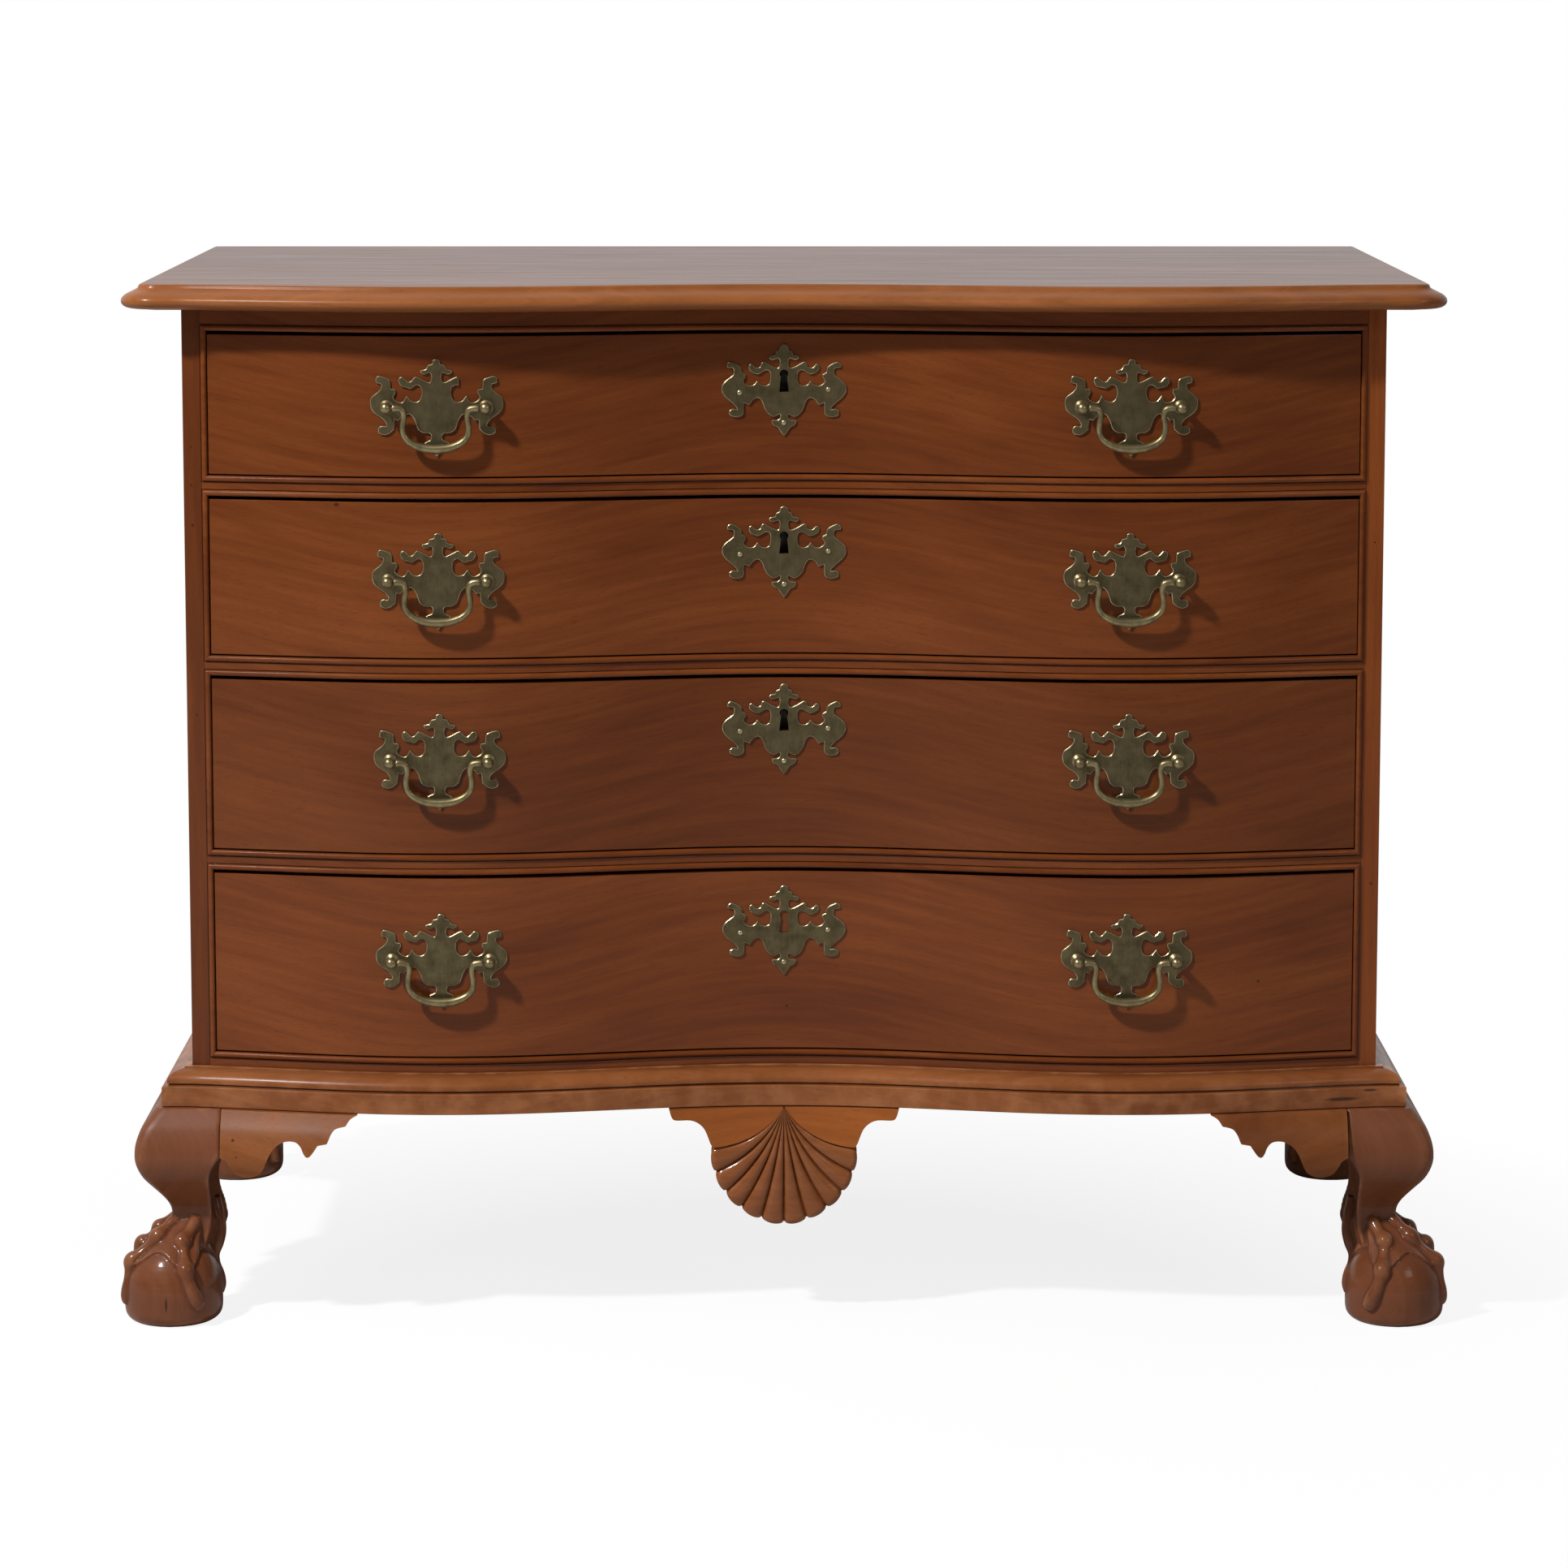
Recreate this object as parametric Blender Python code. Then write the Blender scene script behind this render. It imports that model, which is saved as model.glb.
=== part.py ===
"""Reverse-serpentine chest of four drawers on claw-and-ball feet.

Metres, +Z up, the front towards -Y, the origin on the floor under the middle of the top.
"""

import math

import bmesh
import bpy
import numpy as np
from mathutils import Matrix, Vector

# Overall sizes
CASE_WIDTH = 0.9144
TOP_DEPTH = 0.570
FOOT_HEIGHT = 0.1673

# Swelled front: hollow in the middle, fullest at each lobe
LOBE_INSET = 0.1952
WAVE_DEPTH = 0.034
WAVE_STEPS = 24
LEAST_STRIP = 0.0008

# Fits
GLUE_GAP = 0.0003
RUN_GAP = 0.0003
SNAP = 0.000003

# Top board
TOP_THICKNESS = 0.020
TOP_SIDE_OVERHANG = 0.0488
TOP_FRONT_OVERHANG = 0.032
TOP_BACK_OVERHANG = 0.005
# The edge moulding, as (set back from the nose, height above the underside)
TOP_EDGE = (
    (0.0120, 0.0000), (0.0045, 0.0012), (0.0010, 0.0045), (0.0000, 0.0085), (0.0012, 0.0125),
    (0.0048, 0.0158), (0.0100, 0.0170), (0.0124, 0.0172), (0.0130, 0.0200),
)

# Case boards
SIDE_THICKNESS = 0.019
BACK_THICKNESS = 0.012
BACK_RABBET = 0.010
BOTTOM_THICKNESS = 0.020
DUST_THICKNESS = 0.010
DADO_DEPTH = 0.006

# Rails between the drawers, with a bead on each edge beside a drawer
BLADE_HEIGHT = 0.0156
BLADE_DEPTH = 0.065
TOP_RAIL_HEIGHT = 0.0157
BOTTOM_RAIL_SHOW = 0.0112
BEAD_WIDTH = 0.0052
BEAD_PROUD = 0.0022
BEAD_STEPS = 3

# Base moulding: a flat fascia, a quirk and an ovolo, as (proud of the case, height)
MOULDING_PROUD = 0.0185
MOULDING_HEIGHT = 0.0285
FASCIA_HEIGHT = 0.0172
QUIRK = 0.0012
OVOLO_TOP_PROUD = 0.0052
OVOLO_STEPS = 3

# Drawers, from the bottom one up
OPENING_HEIGHTS = (0.1424, 0.1348, 0.1225, 0.1101)
DRAWER_NUMBERS = (4, 3, 2, 1)
LOCKED_DRAWERS = (1, 2, 3)
DRAWER_SIDE_GAP = 0.0008
DRAWER_TOP_GAP = 0.0025
DRAWER_FOOT_GAP = 0.0010
FRONT_THICKNESS = 0.022
BOX_SIDE = 0.010
BOX_BACK = 0.010
BOX_BOTTOM = 0.007
BOX_BOTTOM_RAISE = 0.005
BOX_TOP_STEP = 0.004
BOX_REAR_ROOM = 0.006

# Claw-and-ball feet. The leg's levels are shares of FOOT_HEIGHT, and each level has (reach out of the case
# corner, inner end of the outer faces, inner corner)
LEG_SHARES = (0.998, 0.940, 0.875, 0.785, 0.720, 0.665, 0.605, 0.560, 0.515, 0.470, 0.330)
LEG_LEVELS = (
    (0.0228, -0.0272, -0.0272), (0.0290, -0.0272, -0.0272), (0.0343, -0.0272, -0.0272),
    (0.0373, -0.0268, -0.0268), (0.0345, -0.0196, -0.0262), (0.0275, -0.0175, -0.0260),
    (0.0165, -0.0180, -0.0262), (0.0102, -0.0190, -0.0265), (0.0078, -0.0196, -0.0270),
    (0.0090, -0.0192, -0.0270), (0.0120, -0.0150, -0.0200),
)
KNEE_ROUND = 0.007
ARRIS_ROUND = 0.003
BALL_OUT = 0.0088
BALL_RADIUS = 0.0365
BALL_WIDEST = 0.026
BALL_UPPER = 0.044
BALL_LOWER = 0.037
BALL_SIDES = 12
BALL_RINGS = 6
BALL_LAST_TURN = math.radians(58)
# The web between the toes above the ball, as (radius, height)
WEB = ((0.0168, 0.0730), (0.0115, 0.0880))
# A toe, as (distance from the ball's axis, height, thickness radius)
TOE = (
    (0.0110, 0.0860, 0.0075), (0.0222, 0.0735, 0.0072), (0.0322, 0.0565, 0.0068), (0.0380, 0.0340, 0.0064),
    (0.0365, 0.0150, 0.0040),
)
TOE_SIDES = 5
TOES = 4
REAR_FOOT_SETBACK = 0.0564

# Knee brackets: (distance from the leg, drop below the moulding)
BRACKET_SCROLL = (
    (0.0000, 0.0338), (0.0070, 0.0400), (0.0131, 0.0470), (0.0224, 0.0500), (0.0310, 0.0460),
    (0.0368, 0.0381), (0.0430, 0.0273), (0.0542, 0.0243), (0.0636, 0.0307), (0.0686, 0.0362),
    (0.0773, 0.0273), (0.0842, 0.0258), (0.0898, 0.0147), (0.0998, 0.0101), (0.1085, 0.0037),
)
BRACKET_BACK = 0.016
BRACKET_FACE_STEPS = 4

# Shell pendant
SHELL_LOBES = 10
SHELL_HALF_SPREAD = math.radians(60.5)
SHELL_DROP = 0.087
SHELL_SIDE_REACH = 0.063
SHELL_FALL_POWER = 1.6
SHELL_LOBE_SWELL = 0.0035
SHELL_FLUTE = 0.004
SHELL_LOBE_STEPS = 4
SHELL_THICKNESS = 0.020
SHELL_SET_BACK = 0.003
PLATE_HALF_WIDTH = 0.0885
PLATE_EDGE_DROP = 0.0095
PLATE_EDGE_SLOPE = 0.004
COVE_STEPS = 5

# Brass pulls
POST_SPACING = 0.075
PULL_RISES = {1: 0.0, 2: 0.0, 3: 0.006, 4: 0.006}
PLATE_THICKNESS = 0.0016
BAIL_STANDOFF = 0.0100
POST_HEAD = 0.0046
POST_NECK = 0.0028
POST_COLLAR = 0.0050
POST_COLLAR_HEIGHT = 0.0025
POST_HEAD_TURNS = (-0.75, -0.1, 0.6, 1.3)
POST_SHANK = 0.0023
POST_TAIL = 0.004
POST_SIDES = 6
POST_HOLE = 0.0028
HOLE_SIDES = 8
PIN_RADIUS = 0.0012
PIN_HOLE = 0.0016
PIN_DEPTH = 0.0026
# The right half of the bail, as (out from the middle, drop below the posts, wire radius)
BAIL_SHOULDER = 0.0030
BAIL = (
    (0.0285, 0.0000, 0.0027), (0.0250, 0.0016, 0.0023), (0.0233, 0.0062, 0.0021), (0.0241, 0.0170, 0.0021),
    (0.0228, 0.0247, 0.0022), (0.0175, 0.0292, 0.0026), (0.0085, 0.0311, 0.0031), (0.0000, 0.0313, 0.0034),
)
BAIL_SIDES = 6
# The left half of the pull plate, top to bottom, as (out from the middle, height above the posts)
PULL_OUTLINE = (
    (0.0000, 0.0363), (0.0070, 0.0312), (0.0118, 0.0272), (0.0040, 0.0250), (0.0045, 0.0187),
    (0.0158, 0.0231), (0.0210, 0.0191), (0.0275, 0.0222), (0.0224, 0.0145), (0.0130, 0.0160),
    (0.0120, 0.0060), (0.0225, 0.0087), (0.0268, 0.0033), (0.0325, 0.0095), (0.0352, 0.0200),
    (0.0450, 0.0225), (0.0415, 0.0150), (0.0498, 0.0050), (0.0385, -0.0127), (0.0435, -0.0185),
    (0.0330, -0.0185), (0.0310, -0.0095), (0.0205, -0.0052), (0.0150, -0.0140), (0.0041, -0.0215),
    (0.0093, -0.0270), (0.0000, -0.0374),
)

# Brass escutcheons, and the keyhole as (half width, drop) below the middle of its round head
ESCUTCHEON_DROPS = {1: 0.008, 2: 0.006, 3: 0.0045, 4: 0.011}
ESCUTCHEON_THICKNESS = 0.0014
KEYHOLE_DROP = 0.0228
KEYHOLE_HEAD = 0.0033
KEYHOLE_HEAD_FOOT = 0.0021
KEYHOLE_HEAD_STEPS = 6
KEYHOLE_SKIRT = ((0.0024, 0.0028), (0.0037, 0.0138))
# The left half of the escutcheon, as (out from the middle, drop below its tip)
ESCUTCHEON_OUTLINE = (
    (0.0000, 0.0000), (0.0115, 0.0107), (0.0040, 0.0115), (0.0040, 0.0179), (0.0151, 0.0135),
    (0.0190, 0.0175), (0.0256, 0.0155), (0.0199, 0.0231), (0.0120, 0.0205), (0.0110, 0.0290),
    (0.0151, 0.0318), (0.0203, 0.0278), (0.0254, 0.0318), (0.0310, 0.0275), (0.0340, 0.0165),
    (0.0420, 0.0140), (0.0385, 0.0215), (0.0470, 0.0330), (0.0358, 0.0497), (0.0410, 0.0540),
    (0.0315, 0.0540), (0.0306, 0.0449), (0.0199, 0.0409), (0.0151, 0.0485), (0.0028, 0.0560),
    (0.0095, 0.0584), (0.0000, 0.0700),
)

# Drawer locks and their bolts
LOCK_WIDTH = 0.060
LOCK_HEIGHT = 0.052
LOCK_LET_IN = 0.011
LOCK_PROUD = 0.0015
BOLT_WIDTH = 0.028
BOLT_THICKNESS = 0.005
BOLT_HEIGHT = 0.018
BOLT_SUNK = 0.0005
BOLT_TRAVEL = 0.008
BOLT_ROOM = 0.0010

# Finishes, as (colour, roughness, metallic)
MAHOGANY = ((0.14, 0.045, 0.016), 0.38, 0.0)
MAHOGANY_PALE = ((0.28, 0.095, 0.028), 0.40, 0.0)
POPLAR = ((0.42, 0.30, 0.16), 0.70, 0.0)
BRASS = ((0.30, 0.24, 0.10), 0.35, 1.0)
IRON = ((0.09, 0.085, 0.08), 0.55, 1.0)

# Long enough for a cutter to pass right through a board
CUT_PAST = 0.1

# Places worked out from the sizes above
CASE_HALF = CASE_WIDTH / 2
LOBE_X = CASE_HALF - LOBE_INSET
OPENING_HALF = CASE_HALF - SIDE_THICKNESS
LOBE_Y = -TOP_DEPTH / 2 + TOP_FRONT_OVERHANG
CENTRE_Y = LOBE_Y + WAVE_DEPTH
CASE_BACK_Y = TOP_DEPTH / 2 - TOP_BACK_OVERHANG
BACK_FACE_Y = CASE_BACK_Y - BACK_THICKNESS
BLADE_BACK_Y = CENTRE_Y + BLADE_DEPTH
OPENING_FLOOR = FOOT_HEIGHT + MOULDING_HEIGHT + BOTTOM_RAIL_SHOW
CASE_BOTTOM = OPENING_FLOOR - BOTTOM_THICKNESS
CASE_TOP = OPENING_FLOOR + sum(OPENING_HEIGHTS) + BLADE_HEIGHT * (len(OPENING_HEIGHTS) - 1) + TOP_RAIL_HEIGHT


def wave(x):
    """How far the swelled front stands forward of its middle."""
    reach = min(abs(x), CASE_HALF)
    return WAVE_DEPTH * (1 - math.cos(math.pi * reach / LOBE_X)) / 2


GRID_X = np.linspace(-CASE_HALF, CASE_HALF, WAVE_STEPS + 1)
GRID_Y = [CENTRE_Y - wave(x) for x in GRID_X]
CORNER_Y = GRID_Y[0]


def front_y(x):
    """The front surface at x, made of flat strips that every piece of the front shares."""
    return float(np.interp(x, GRID_X, GRID_Y))


def strip_edges(low, high):
    """The ends and, between them, the edges of the flat strips."""
    inner = [float(x) for x in GRID_X if low + LEAST_STRIP < x < high - LEAST_STRIP]
    return [low, *inner, high]


# Modelling helpers
def clear_scene():
    for item in list(bpy.data.objects):
        bpy.data.objects.remove(item, do_unlink=True)


def finish(item, look):
    colour, roughness, metallic = look
    material = bpy.data.materials.new(item.name + "_finish")
    material.use_nodes = True
    shader = material.node_tree.nodes["Principled BSDF"]
    shader.inputs["Base Color"].default_value = (*colour, 1.0)
    shader.inputs["Roughness"].default_value = roughness
    shader.inputs["Metallic"].default_value = metallic
    item.data.materials.clear()
    item.data.materials.append(material)


def to_object(name, shape):
    """Close a bmesh into a named object."""
    bmesh.ops.recalc_face_normals(shape, faces=shape.faces[:])
    mesh = bpy.data.meshes.new(name)
    shape.to_mesh(mesh)
    shape.free()
    item = bpy.data.objects.new(name, mesh)
    bpy.context.scene.collection.objects.link(item)
    return item


def loft(name, loops):
    """One closed body through a row of matching loops, with both ends filled."""
    shape = bmesh.new()
    rings = [[shape.verts.new(point) for point in loop] for loop in loops]
    for ring, after in zip(rings, rings[1:]):
        for k in range(len(ring)):
            n = (k + 1) % len(ring)
            shape.faces.new((ring[k], ring[n], after[n], after[k]))
    shape.faces.new(rings[0])
    shape.faces.new(rings[-1])
    return to_object(name, shape)


def box(name, low, high):
    (x0, y0, z0), (x1, y1, z1) = low, high
    plan = ((x0, y0), (x1, y0), (x1, y1), (x0, y1))
    return loft(name, [[(x, y, z) for x, y in plan] for z in (z0, z1)])


def prism(name, outline, y0, y1):
    """An outline in X and Z, extruded along Y."""
    return loft(name, [[(x, y, z) for x, z in outline] for y in (y0, y1)])


def combine(item, other, operation):
    """Join another body to an object, or cut it out, and remove that body."""
    change = item.modifiers.new(other.name, "BOOLEAN")
    change.operation = operation
    change.solver = "EXACT"
    change.object = other
    evaluated = item.evaluated_get(bpy.context.evaluated_depsgraph_get())
    mesh = bpy.data.meshes.new_from_object(evaluated)
    item.modifiers.clear()
    item.data = mesh
    bpy.data.objects.remove(other, do_unlink=True)


def cut(item, other):
    combine(item, other, "DIFFERENCE")


def join(item, other):
    combine(item, other, "UNION")


def pivot_at(item, point):
    """Put an object's origin on a point without moving its shape."""
    item.data.transform(Matrix.Translation(-Vector(point)))
    item.location = point


def carry(item, carrier):
    item.parent = carrier
    item.matrix_parent_inverse = Matrix.Translation(-carrier.location)


def empty(name, place):
    item = bpy.data.objects.new(name, None)
    item.location = place
    bpy.context.scene.collection.objects.link(item)
    return item


# The swelled boards and rails
def bead(low):
    """A half-round bead, as (forward, height) from its lower edge."""
    points = []
    for k in range(BEAD_STEPS + 1):
        turn = math.pi * k / BEAD_STEPS
        points.append((BEAD_PROUD * math.sin(turn), low + BEAD_WIDTH * (1 - math.cos(turn)) / 2))
    return points


def swelled_rail(name, face, back_y, half, look):
    """A rail with a face of (forward, height) points that follows the front, and a straight back."""
    loops = []
    for x in strip_edges(-half, half):
        loop = [(x, back_y, face[0][1])]
        loop += [(x, front_y(x) - forward, z) for forward, z in face]
        loop.append((x, back_y, face[-1][1]))
        loops.append(loop)
    item = loft(name, loops)
    finish(item, look)
    return item


def make_top():
    half = CASE_HALF + TOP_SIDE_OVERHANG
    back_y = TOP_DEPTH / 2
    base = CASE_TOP + GLUE_GAP
    loops = []
    for inset, height in TOP_EDGE:
        front = []
        for share in np.linspace(-1, 1, WAVE_STEPS + 1):
            y = CENTRE_Y - wave(share * half) - TOP_FRONT_OVERHANG + inset
            front.append((share * (half - inset), y, base + height / TOP_EDGE[-1][1] * TOP_THICKNESS))
        level = front[0][2]
        loops.append(front + [(half - inset, back_y, level), (inset - half, back_y, level)])
    finish(loft("top", loops), MAHOGANY_PALE)


def side_plan(proud):
    """The plan of a case side, with its bead standing forward by a share of its full height."""
    plan = [(CASE_HALF, CASE_BACK_Y), (CASE_HALF, CORNER_Y)]
    for forward, inward in reversed(bead(0)):
        x = OPENING_HALF + inward
        plan.append((x, front_y(x) - forward * proud))
    plan += [
        (OPENING_HALF, BACK_FACE_Y - GLUE_GAP),
        (OPENING_HALF + BACK_RABBET, BACK_FACE_Y - GLUE_GAP),
        (OPENING_HALF + BACK_RABBET, CASE_BACK_Y),
    ]
    return plan


def make_side(name, sign):
    """A case side: a bead beside the drawers, a rabbet for the back and a dado for each dustboard."""
    foot = OPENING_FLOOR - BEAD_WIDTH
    head = CASE_TOP - TOP_RAIL_HEIGHT + BEAD_WIDTH
    levels = (
        (CASE_BOTTOM, 0), (foot - BEAD_PROUD, 0), (foot, 1), (head, 1), (head + BEAD_PROUD, 0), (CASE_TOP, 0),
    )
    loops = [[(sign * x, y, z) for x, y in side_plan(proud)] for z, proud in levels]
    side = loft(name, loops)
    for level in blade_levels():
        top = level + BLADE_HEIGHT
        reach = sorted((sign * (OPENING_HALF - CUT_PAST), sign * (OPENING_HALF + DADO_DEPTH)))
        low = (reach[0], BLADE_BACK_Y, top - DUST_THICKNESS - GLUE_GAP)
        high = (reach[1], BACK_FACE_Y + GLUE_GAP, top + GLUE_GAP)
        cut(side, box("dado", low, high))
    finish(side, MAHOGANY)


def blade_levels():
    """The undersides of the blades, from the lowest up."""
    levels = []
    level = OPENING_FLOOR
    for height in OPENING_HEIGHTS[:-1]:
        levels.append(level + height)
        level += height + BLADE_HEIGHT
    return levels


def make_bottom_and_back():
    z0, z1 = CASE_BOTTOM, OPENING_FLOOR
    half = OPENING_HALF - GLUE_GAP
    face = [(0.0, z0)] + bead(z1 - BEAD_WIDTH)
    swelled_rail("bottom_board", face, BACK_FACE_Y - GLUE_GAP, half, MAHOGANY)
    reach = OPENING_HALF + BACK_RABBET - GLUE_GAP
    back = box("back_board", (-reach, BACK_FACE_Y, CASE_BOTTOM), (reach, CASE_BACK_Y, CASE_TOP))
    finish(back, POPLAR)


def make_rails():
    """The top rail and the blades, each with its dustboard behind."""
    half = OPENING_HALF - GLUE_GAP
    z1 = CASE_TOP
    z0 = z1 - TOP_RAIL_HEIGHT
    rail = swelled_rail("top_rail", bead(z0) + [(0.0, z1)], BLADE_BACK_Y, half, MAHOGANY)
    cut_mortise(rail, z0)
    reach = OPENING_HALF + DADO_DEPTH - GLUE_GAP
    for count, level in enumerate(blade_levels()):
        number = DRAWER_NUMBERS[count + 1]
        top = level + BLADE_HEIGHT
        face = bead(level) + bead(top - BEAD_WIDTH)
        blade = swelled_rail(f"drawer_blade_{number}", face, BLADE_BACK_Y, half, MAHOGANY)
        if DRAWER_NUMBERS[count] in LOCKED_DRAWERS:
            cut_mortise(blade, level)
        low = (-reach, BLADE_BACK_Y + GLUE_GAP, top - DUST_THICKNESS)
        high = (reach, BACK_FACE_Y - GLUE_GAP, top)
        finish(box(f"dustboard_{number}", low, high), POPLAR)


# Base moulding
def moulding_profile():
    """The section of the base moulding, as (proud of the case, height)."""
    points = [(GLUE_GAP, 0.0), (MOULDING_PROUD, 0.0), (MOULDING_PROUD, FASCIA_HEIGHT)]
    shoulder = MOULDING_PROUD - QUIRK
    foot = FASCIA_HEIGHT + QUIRK
    rise = MOULDING_HEIGHT - QUIRK - foot
    run = shoulder - OVOLO_TOP_PROUD
    points.append((shoulder - QUIRK, FASCIA_HEIGHT))
    for k in range(OVOLO_STEPS + 1):
        turn = math.pi / 2 * k / OVOLO_STEPS
        points.append((shoulder - run * (1 - math.cos(turn)), foot + rise * math.sin(turn)))
    points += [(OVOLO_TOP_PROUD, MOULDING_HEIGHT), (GLUE_GAP, MOULDING_HEIGHT)]
    return [(proud, FOOT_HEIGHT + height) for proud, height in points]


def make_base_moulding():
    profile = moulding_profile()
    loops = [[(-CASE_HALF - proud, CORNER_Y - proud, z) for proud, z in profile]]
    loops += [[(float(x), front_y(x) - proud, z) for proud, z in profile] for x in GRID_X]
    loops.append([(CASE_HALF + proud, CORNER_Y - proud, z) for proud, z in profile])
    finish(loft("base_moulding_front", loops), MAHOGANY_PALE)
    for side, sign in (("left", -1), ("right", 1)):
        mitre = [(sign * (CASE_HALF + proud), CORNER_Y - proud + GLUE_GAP, z) for proud, z in profile]
        square = [(x, CASE_BACK_Y, z) for x, y, z in mitre]
        finish(loft(f"base_moulding_{side}", [mitre, square]), MAHOGANY_PALE)


# Feet
def leg_ring(out, inner, corner, z):
    """One level of the leg: two outer faces that meet at a rounded knee, and an inner corner."""
    knee = KNEE_ROUND
    edge = ARRIS_ROUND
    soft = knee * (1 - math.sqrt(0.5))
    half = [(out - soft, out - soft), (out - knee, out), (inner + edge, out), (inner, out - edge)]
    ring = half + [(corner, corner + edge), (corner + edge, corner)]
    ring += [(y, x) for x, y in reversed(half[1:])]
    return [(x, y, z) for x, y in ring]


def knee_reach(z):
    """How far the leg's outer face stands out of the case at a height."""
    heights = [share * FOOT_HEIGHT for share in reversed(LEG_SHARES)]
    reaches = [reach for reach, *_ in reversed(LEG_LEVELS)]
    return float(np.interp(z, heights, reaches))


def leg_inset():
    return -LEG_LEVELS[0][1]


def make_foot():
    """A foot at the corner of the case, its knee towards +X and +Y."""
    shoulder = FOOT_HEIGHT * LEG_SHARES[0]
    post_top = CASE_BOTTOM - GLUE_GAP
    loops = [leg_ring(0.0, -leg_inset(), -leg_inset(), z) for z in (post_top, shoulder + GLUE_GAP / 2)]
    loops += [leg_ring(*level, share * FOOT_HEIGHT) for share, level in zip(LEG_SHARES, LEG_LEVELS)]
    foot = loft("foot", loops)
    join(foot, make_ball())
    for k in range(TOES):
        join(foot, make_toe(2 * math.pi * (k + 0.5) / TOES))
    return foot


def make_ball():
    """The ball, and over it the web that runs up to the ankle."""
    start = math.asin(-BALL_WIDEST / BALL_LOWER)
    loops = []
    for turn in np.linspace(start, BALL_LAST_TURN, BALL_RINGS):
        height = BALL_UPPER if turn > 0 else BALL_LOWER
        radius = BALL_RADIUS * math.cos(turn)
        z = BALL_WIDEST + height * math.sin(turn)
        loops.append(circle(BALL_OUT, BALL_OUT, z, radius, BALL_SIDES))
    loops += [circle(BALL_OUT, BALL_OUT, z, radius, BALL_SIDES) for radius, z in WEB]
    return loft("ball", loops)


def circle(x, y, z, radius, sides):
    turns = [2 * math.pi * (k + 0.5) / sides for k in range(sides)]
    return [(x + radius * math.cos(turn), y + radius * math.sin(turn), z) for turn in turns]


def make_toe(direction):
    """A claw that comes down from the ankle over the ball."""
    away = Vector((math.cos(direction), math.sin(direction), 0))
    across = Vector((-away.y, away.x, 0))
    axis = Vector((BALL_OUT, BALL_OUT, 0))
    path = [axis + away * reach + Vector((0, 0, z)) for reach, z, _ in TOE]
    return loft("toe", tube_rings(path, [radius for *_, radius in TOE], across, TOE_SIDES))


def tube_rings(path, radii, across, sides):
    """Rings round a path that lies in a plane, across being that plane's normal."""
    rings = []
    for k, (point, radius) in enumerate(zip(path, radii)):
        along = (path[min(k + 1, len(path) - 1)] - path[max(k - 1, 0)]).normalized()
        normal = along.cross(across)
        turns = [2 * math.pi * (n + 0.5) / sides for n in range(sides)]
        rings.append([point + radius * (math.cos(t) * normal + math.sin(t) * across) for t in turns])
    return rings


def make_feet():
    pattern = make_foot()
    corners = {
        "foot_front_left": (-1, -1, CORNER_Y), "foot_front_right": (1, -1, CORNER_Y),
        "foot_rear_left": (-1, 1, CASE_BACK_Y - REAR_FOOT_SETBACK),
        "foot_rear_right": (1, 1, CASE_BACK_Y - REAR_FOOT_SETBACK),
    }
    for name, (across, along, y) in corners.items():
        mesh = pattern.data.copy()
        mesh.transform(Matrix.Diagonal((across, along, 1, 1)))
        if across * along < 0:
            mesh.flip_normals()
        foot = bpy.data.objects.new(name, mesh)
        bpy.context.scene.collection.objects.link(foot)
        foot.location = (across * CASE_HALF, y, 0)
        finish(foot, MAHOGANY)
    bpy.data.objects.remove(pattern, do_unlink=True)


# Knee brackets
def make_bracket(name, place):
    """A scrolled bracket beside a leg. place turns (distance, out of the case, height) into a point."""
    top = FOOT_HEIGHT - GLUE_GAP
    tongue = CASE_BOTTOM - GLUE_GAP
    loops = []
    for distance, drop in BRACKET_SCROLL:
        bottom = FOOT_HEIGHT - drop
        section = [(-BRACKET_BACK, bottom)]
        for z in np.linspace(bottom, top, BRACKET_FACE_STEPS):
            section.append((knee_reach(z), z))
        section += [(0.0, top), (0.0, tongue), (-BRACKET_BACK, tongue)]
        loops.append([place(distance, out, z) for out, z in section])
    finish(loft(name, loops), MAHOGANY_PALE)


def make_brackets():
    seam = leg_inset() + GLUE_GAP
    rear_y = CASE_BACK_Y - REAR_FOOT_SETBACK
    for side, sign in (("left", -1), ("right", 1)):
        def at_front(distance, out, z, sign=sign):
            x = sign * (CASE_HALF - seam - distance)
            return (x, front_y(x) - out, z)

        def at_side(distance, out, z, sign=sign):
            return (sign * (CASE_HALF + out), CORNER_Y + seam + distance, z)

        def at_rear(distance, out, z, sign=sign):
            return (sign * (CASE_HALF + out), rear_y - seam - distance, z)

        make_bracket(f"bracket_front_{side}", at_front)
        make_bracket(f"bracket_side_front_{side}", at_side)
        make_bracket(f"bracket_side_rear_{side}", at_rear)


# Shell pendant
def shell_edge():
    """The scalloped edge from right to left, as (x, drop, set back) below the shell's hinge."""
    points = []
    total = SHELL_LOBES * SHELL_LOBE_STEPS
    for k in range(total + 1):
        angle = SHELL_HALF_SPREAD * (1 - 2 * k / total)
        fall = abs(angle) / SHELL_HALF_SPREAD
        bulge = math.sin(math.pi * (k % SHELL_LOBE_STEPS) / SHELL_LOBE_STEPS)
        lost = (SHELL_DROP - SHELL_SIDE_REACH) * fall ** SHELL_FALL_POWER
        reach = SHELL_DROP - lost + SHELL_LOBE_SWELL * bulge
        points.append((reach * math.sin(angle), reach * math.cos(angle), SHELL_FLUTE * (1 - bulge)))
    return points


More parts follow.
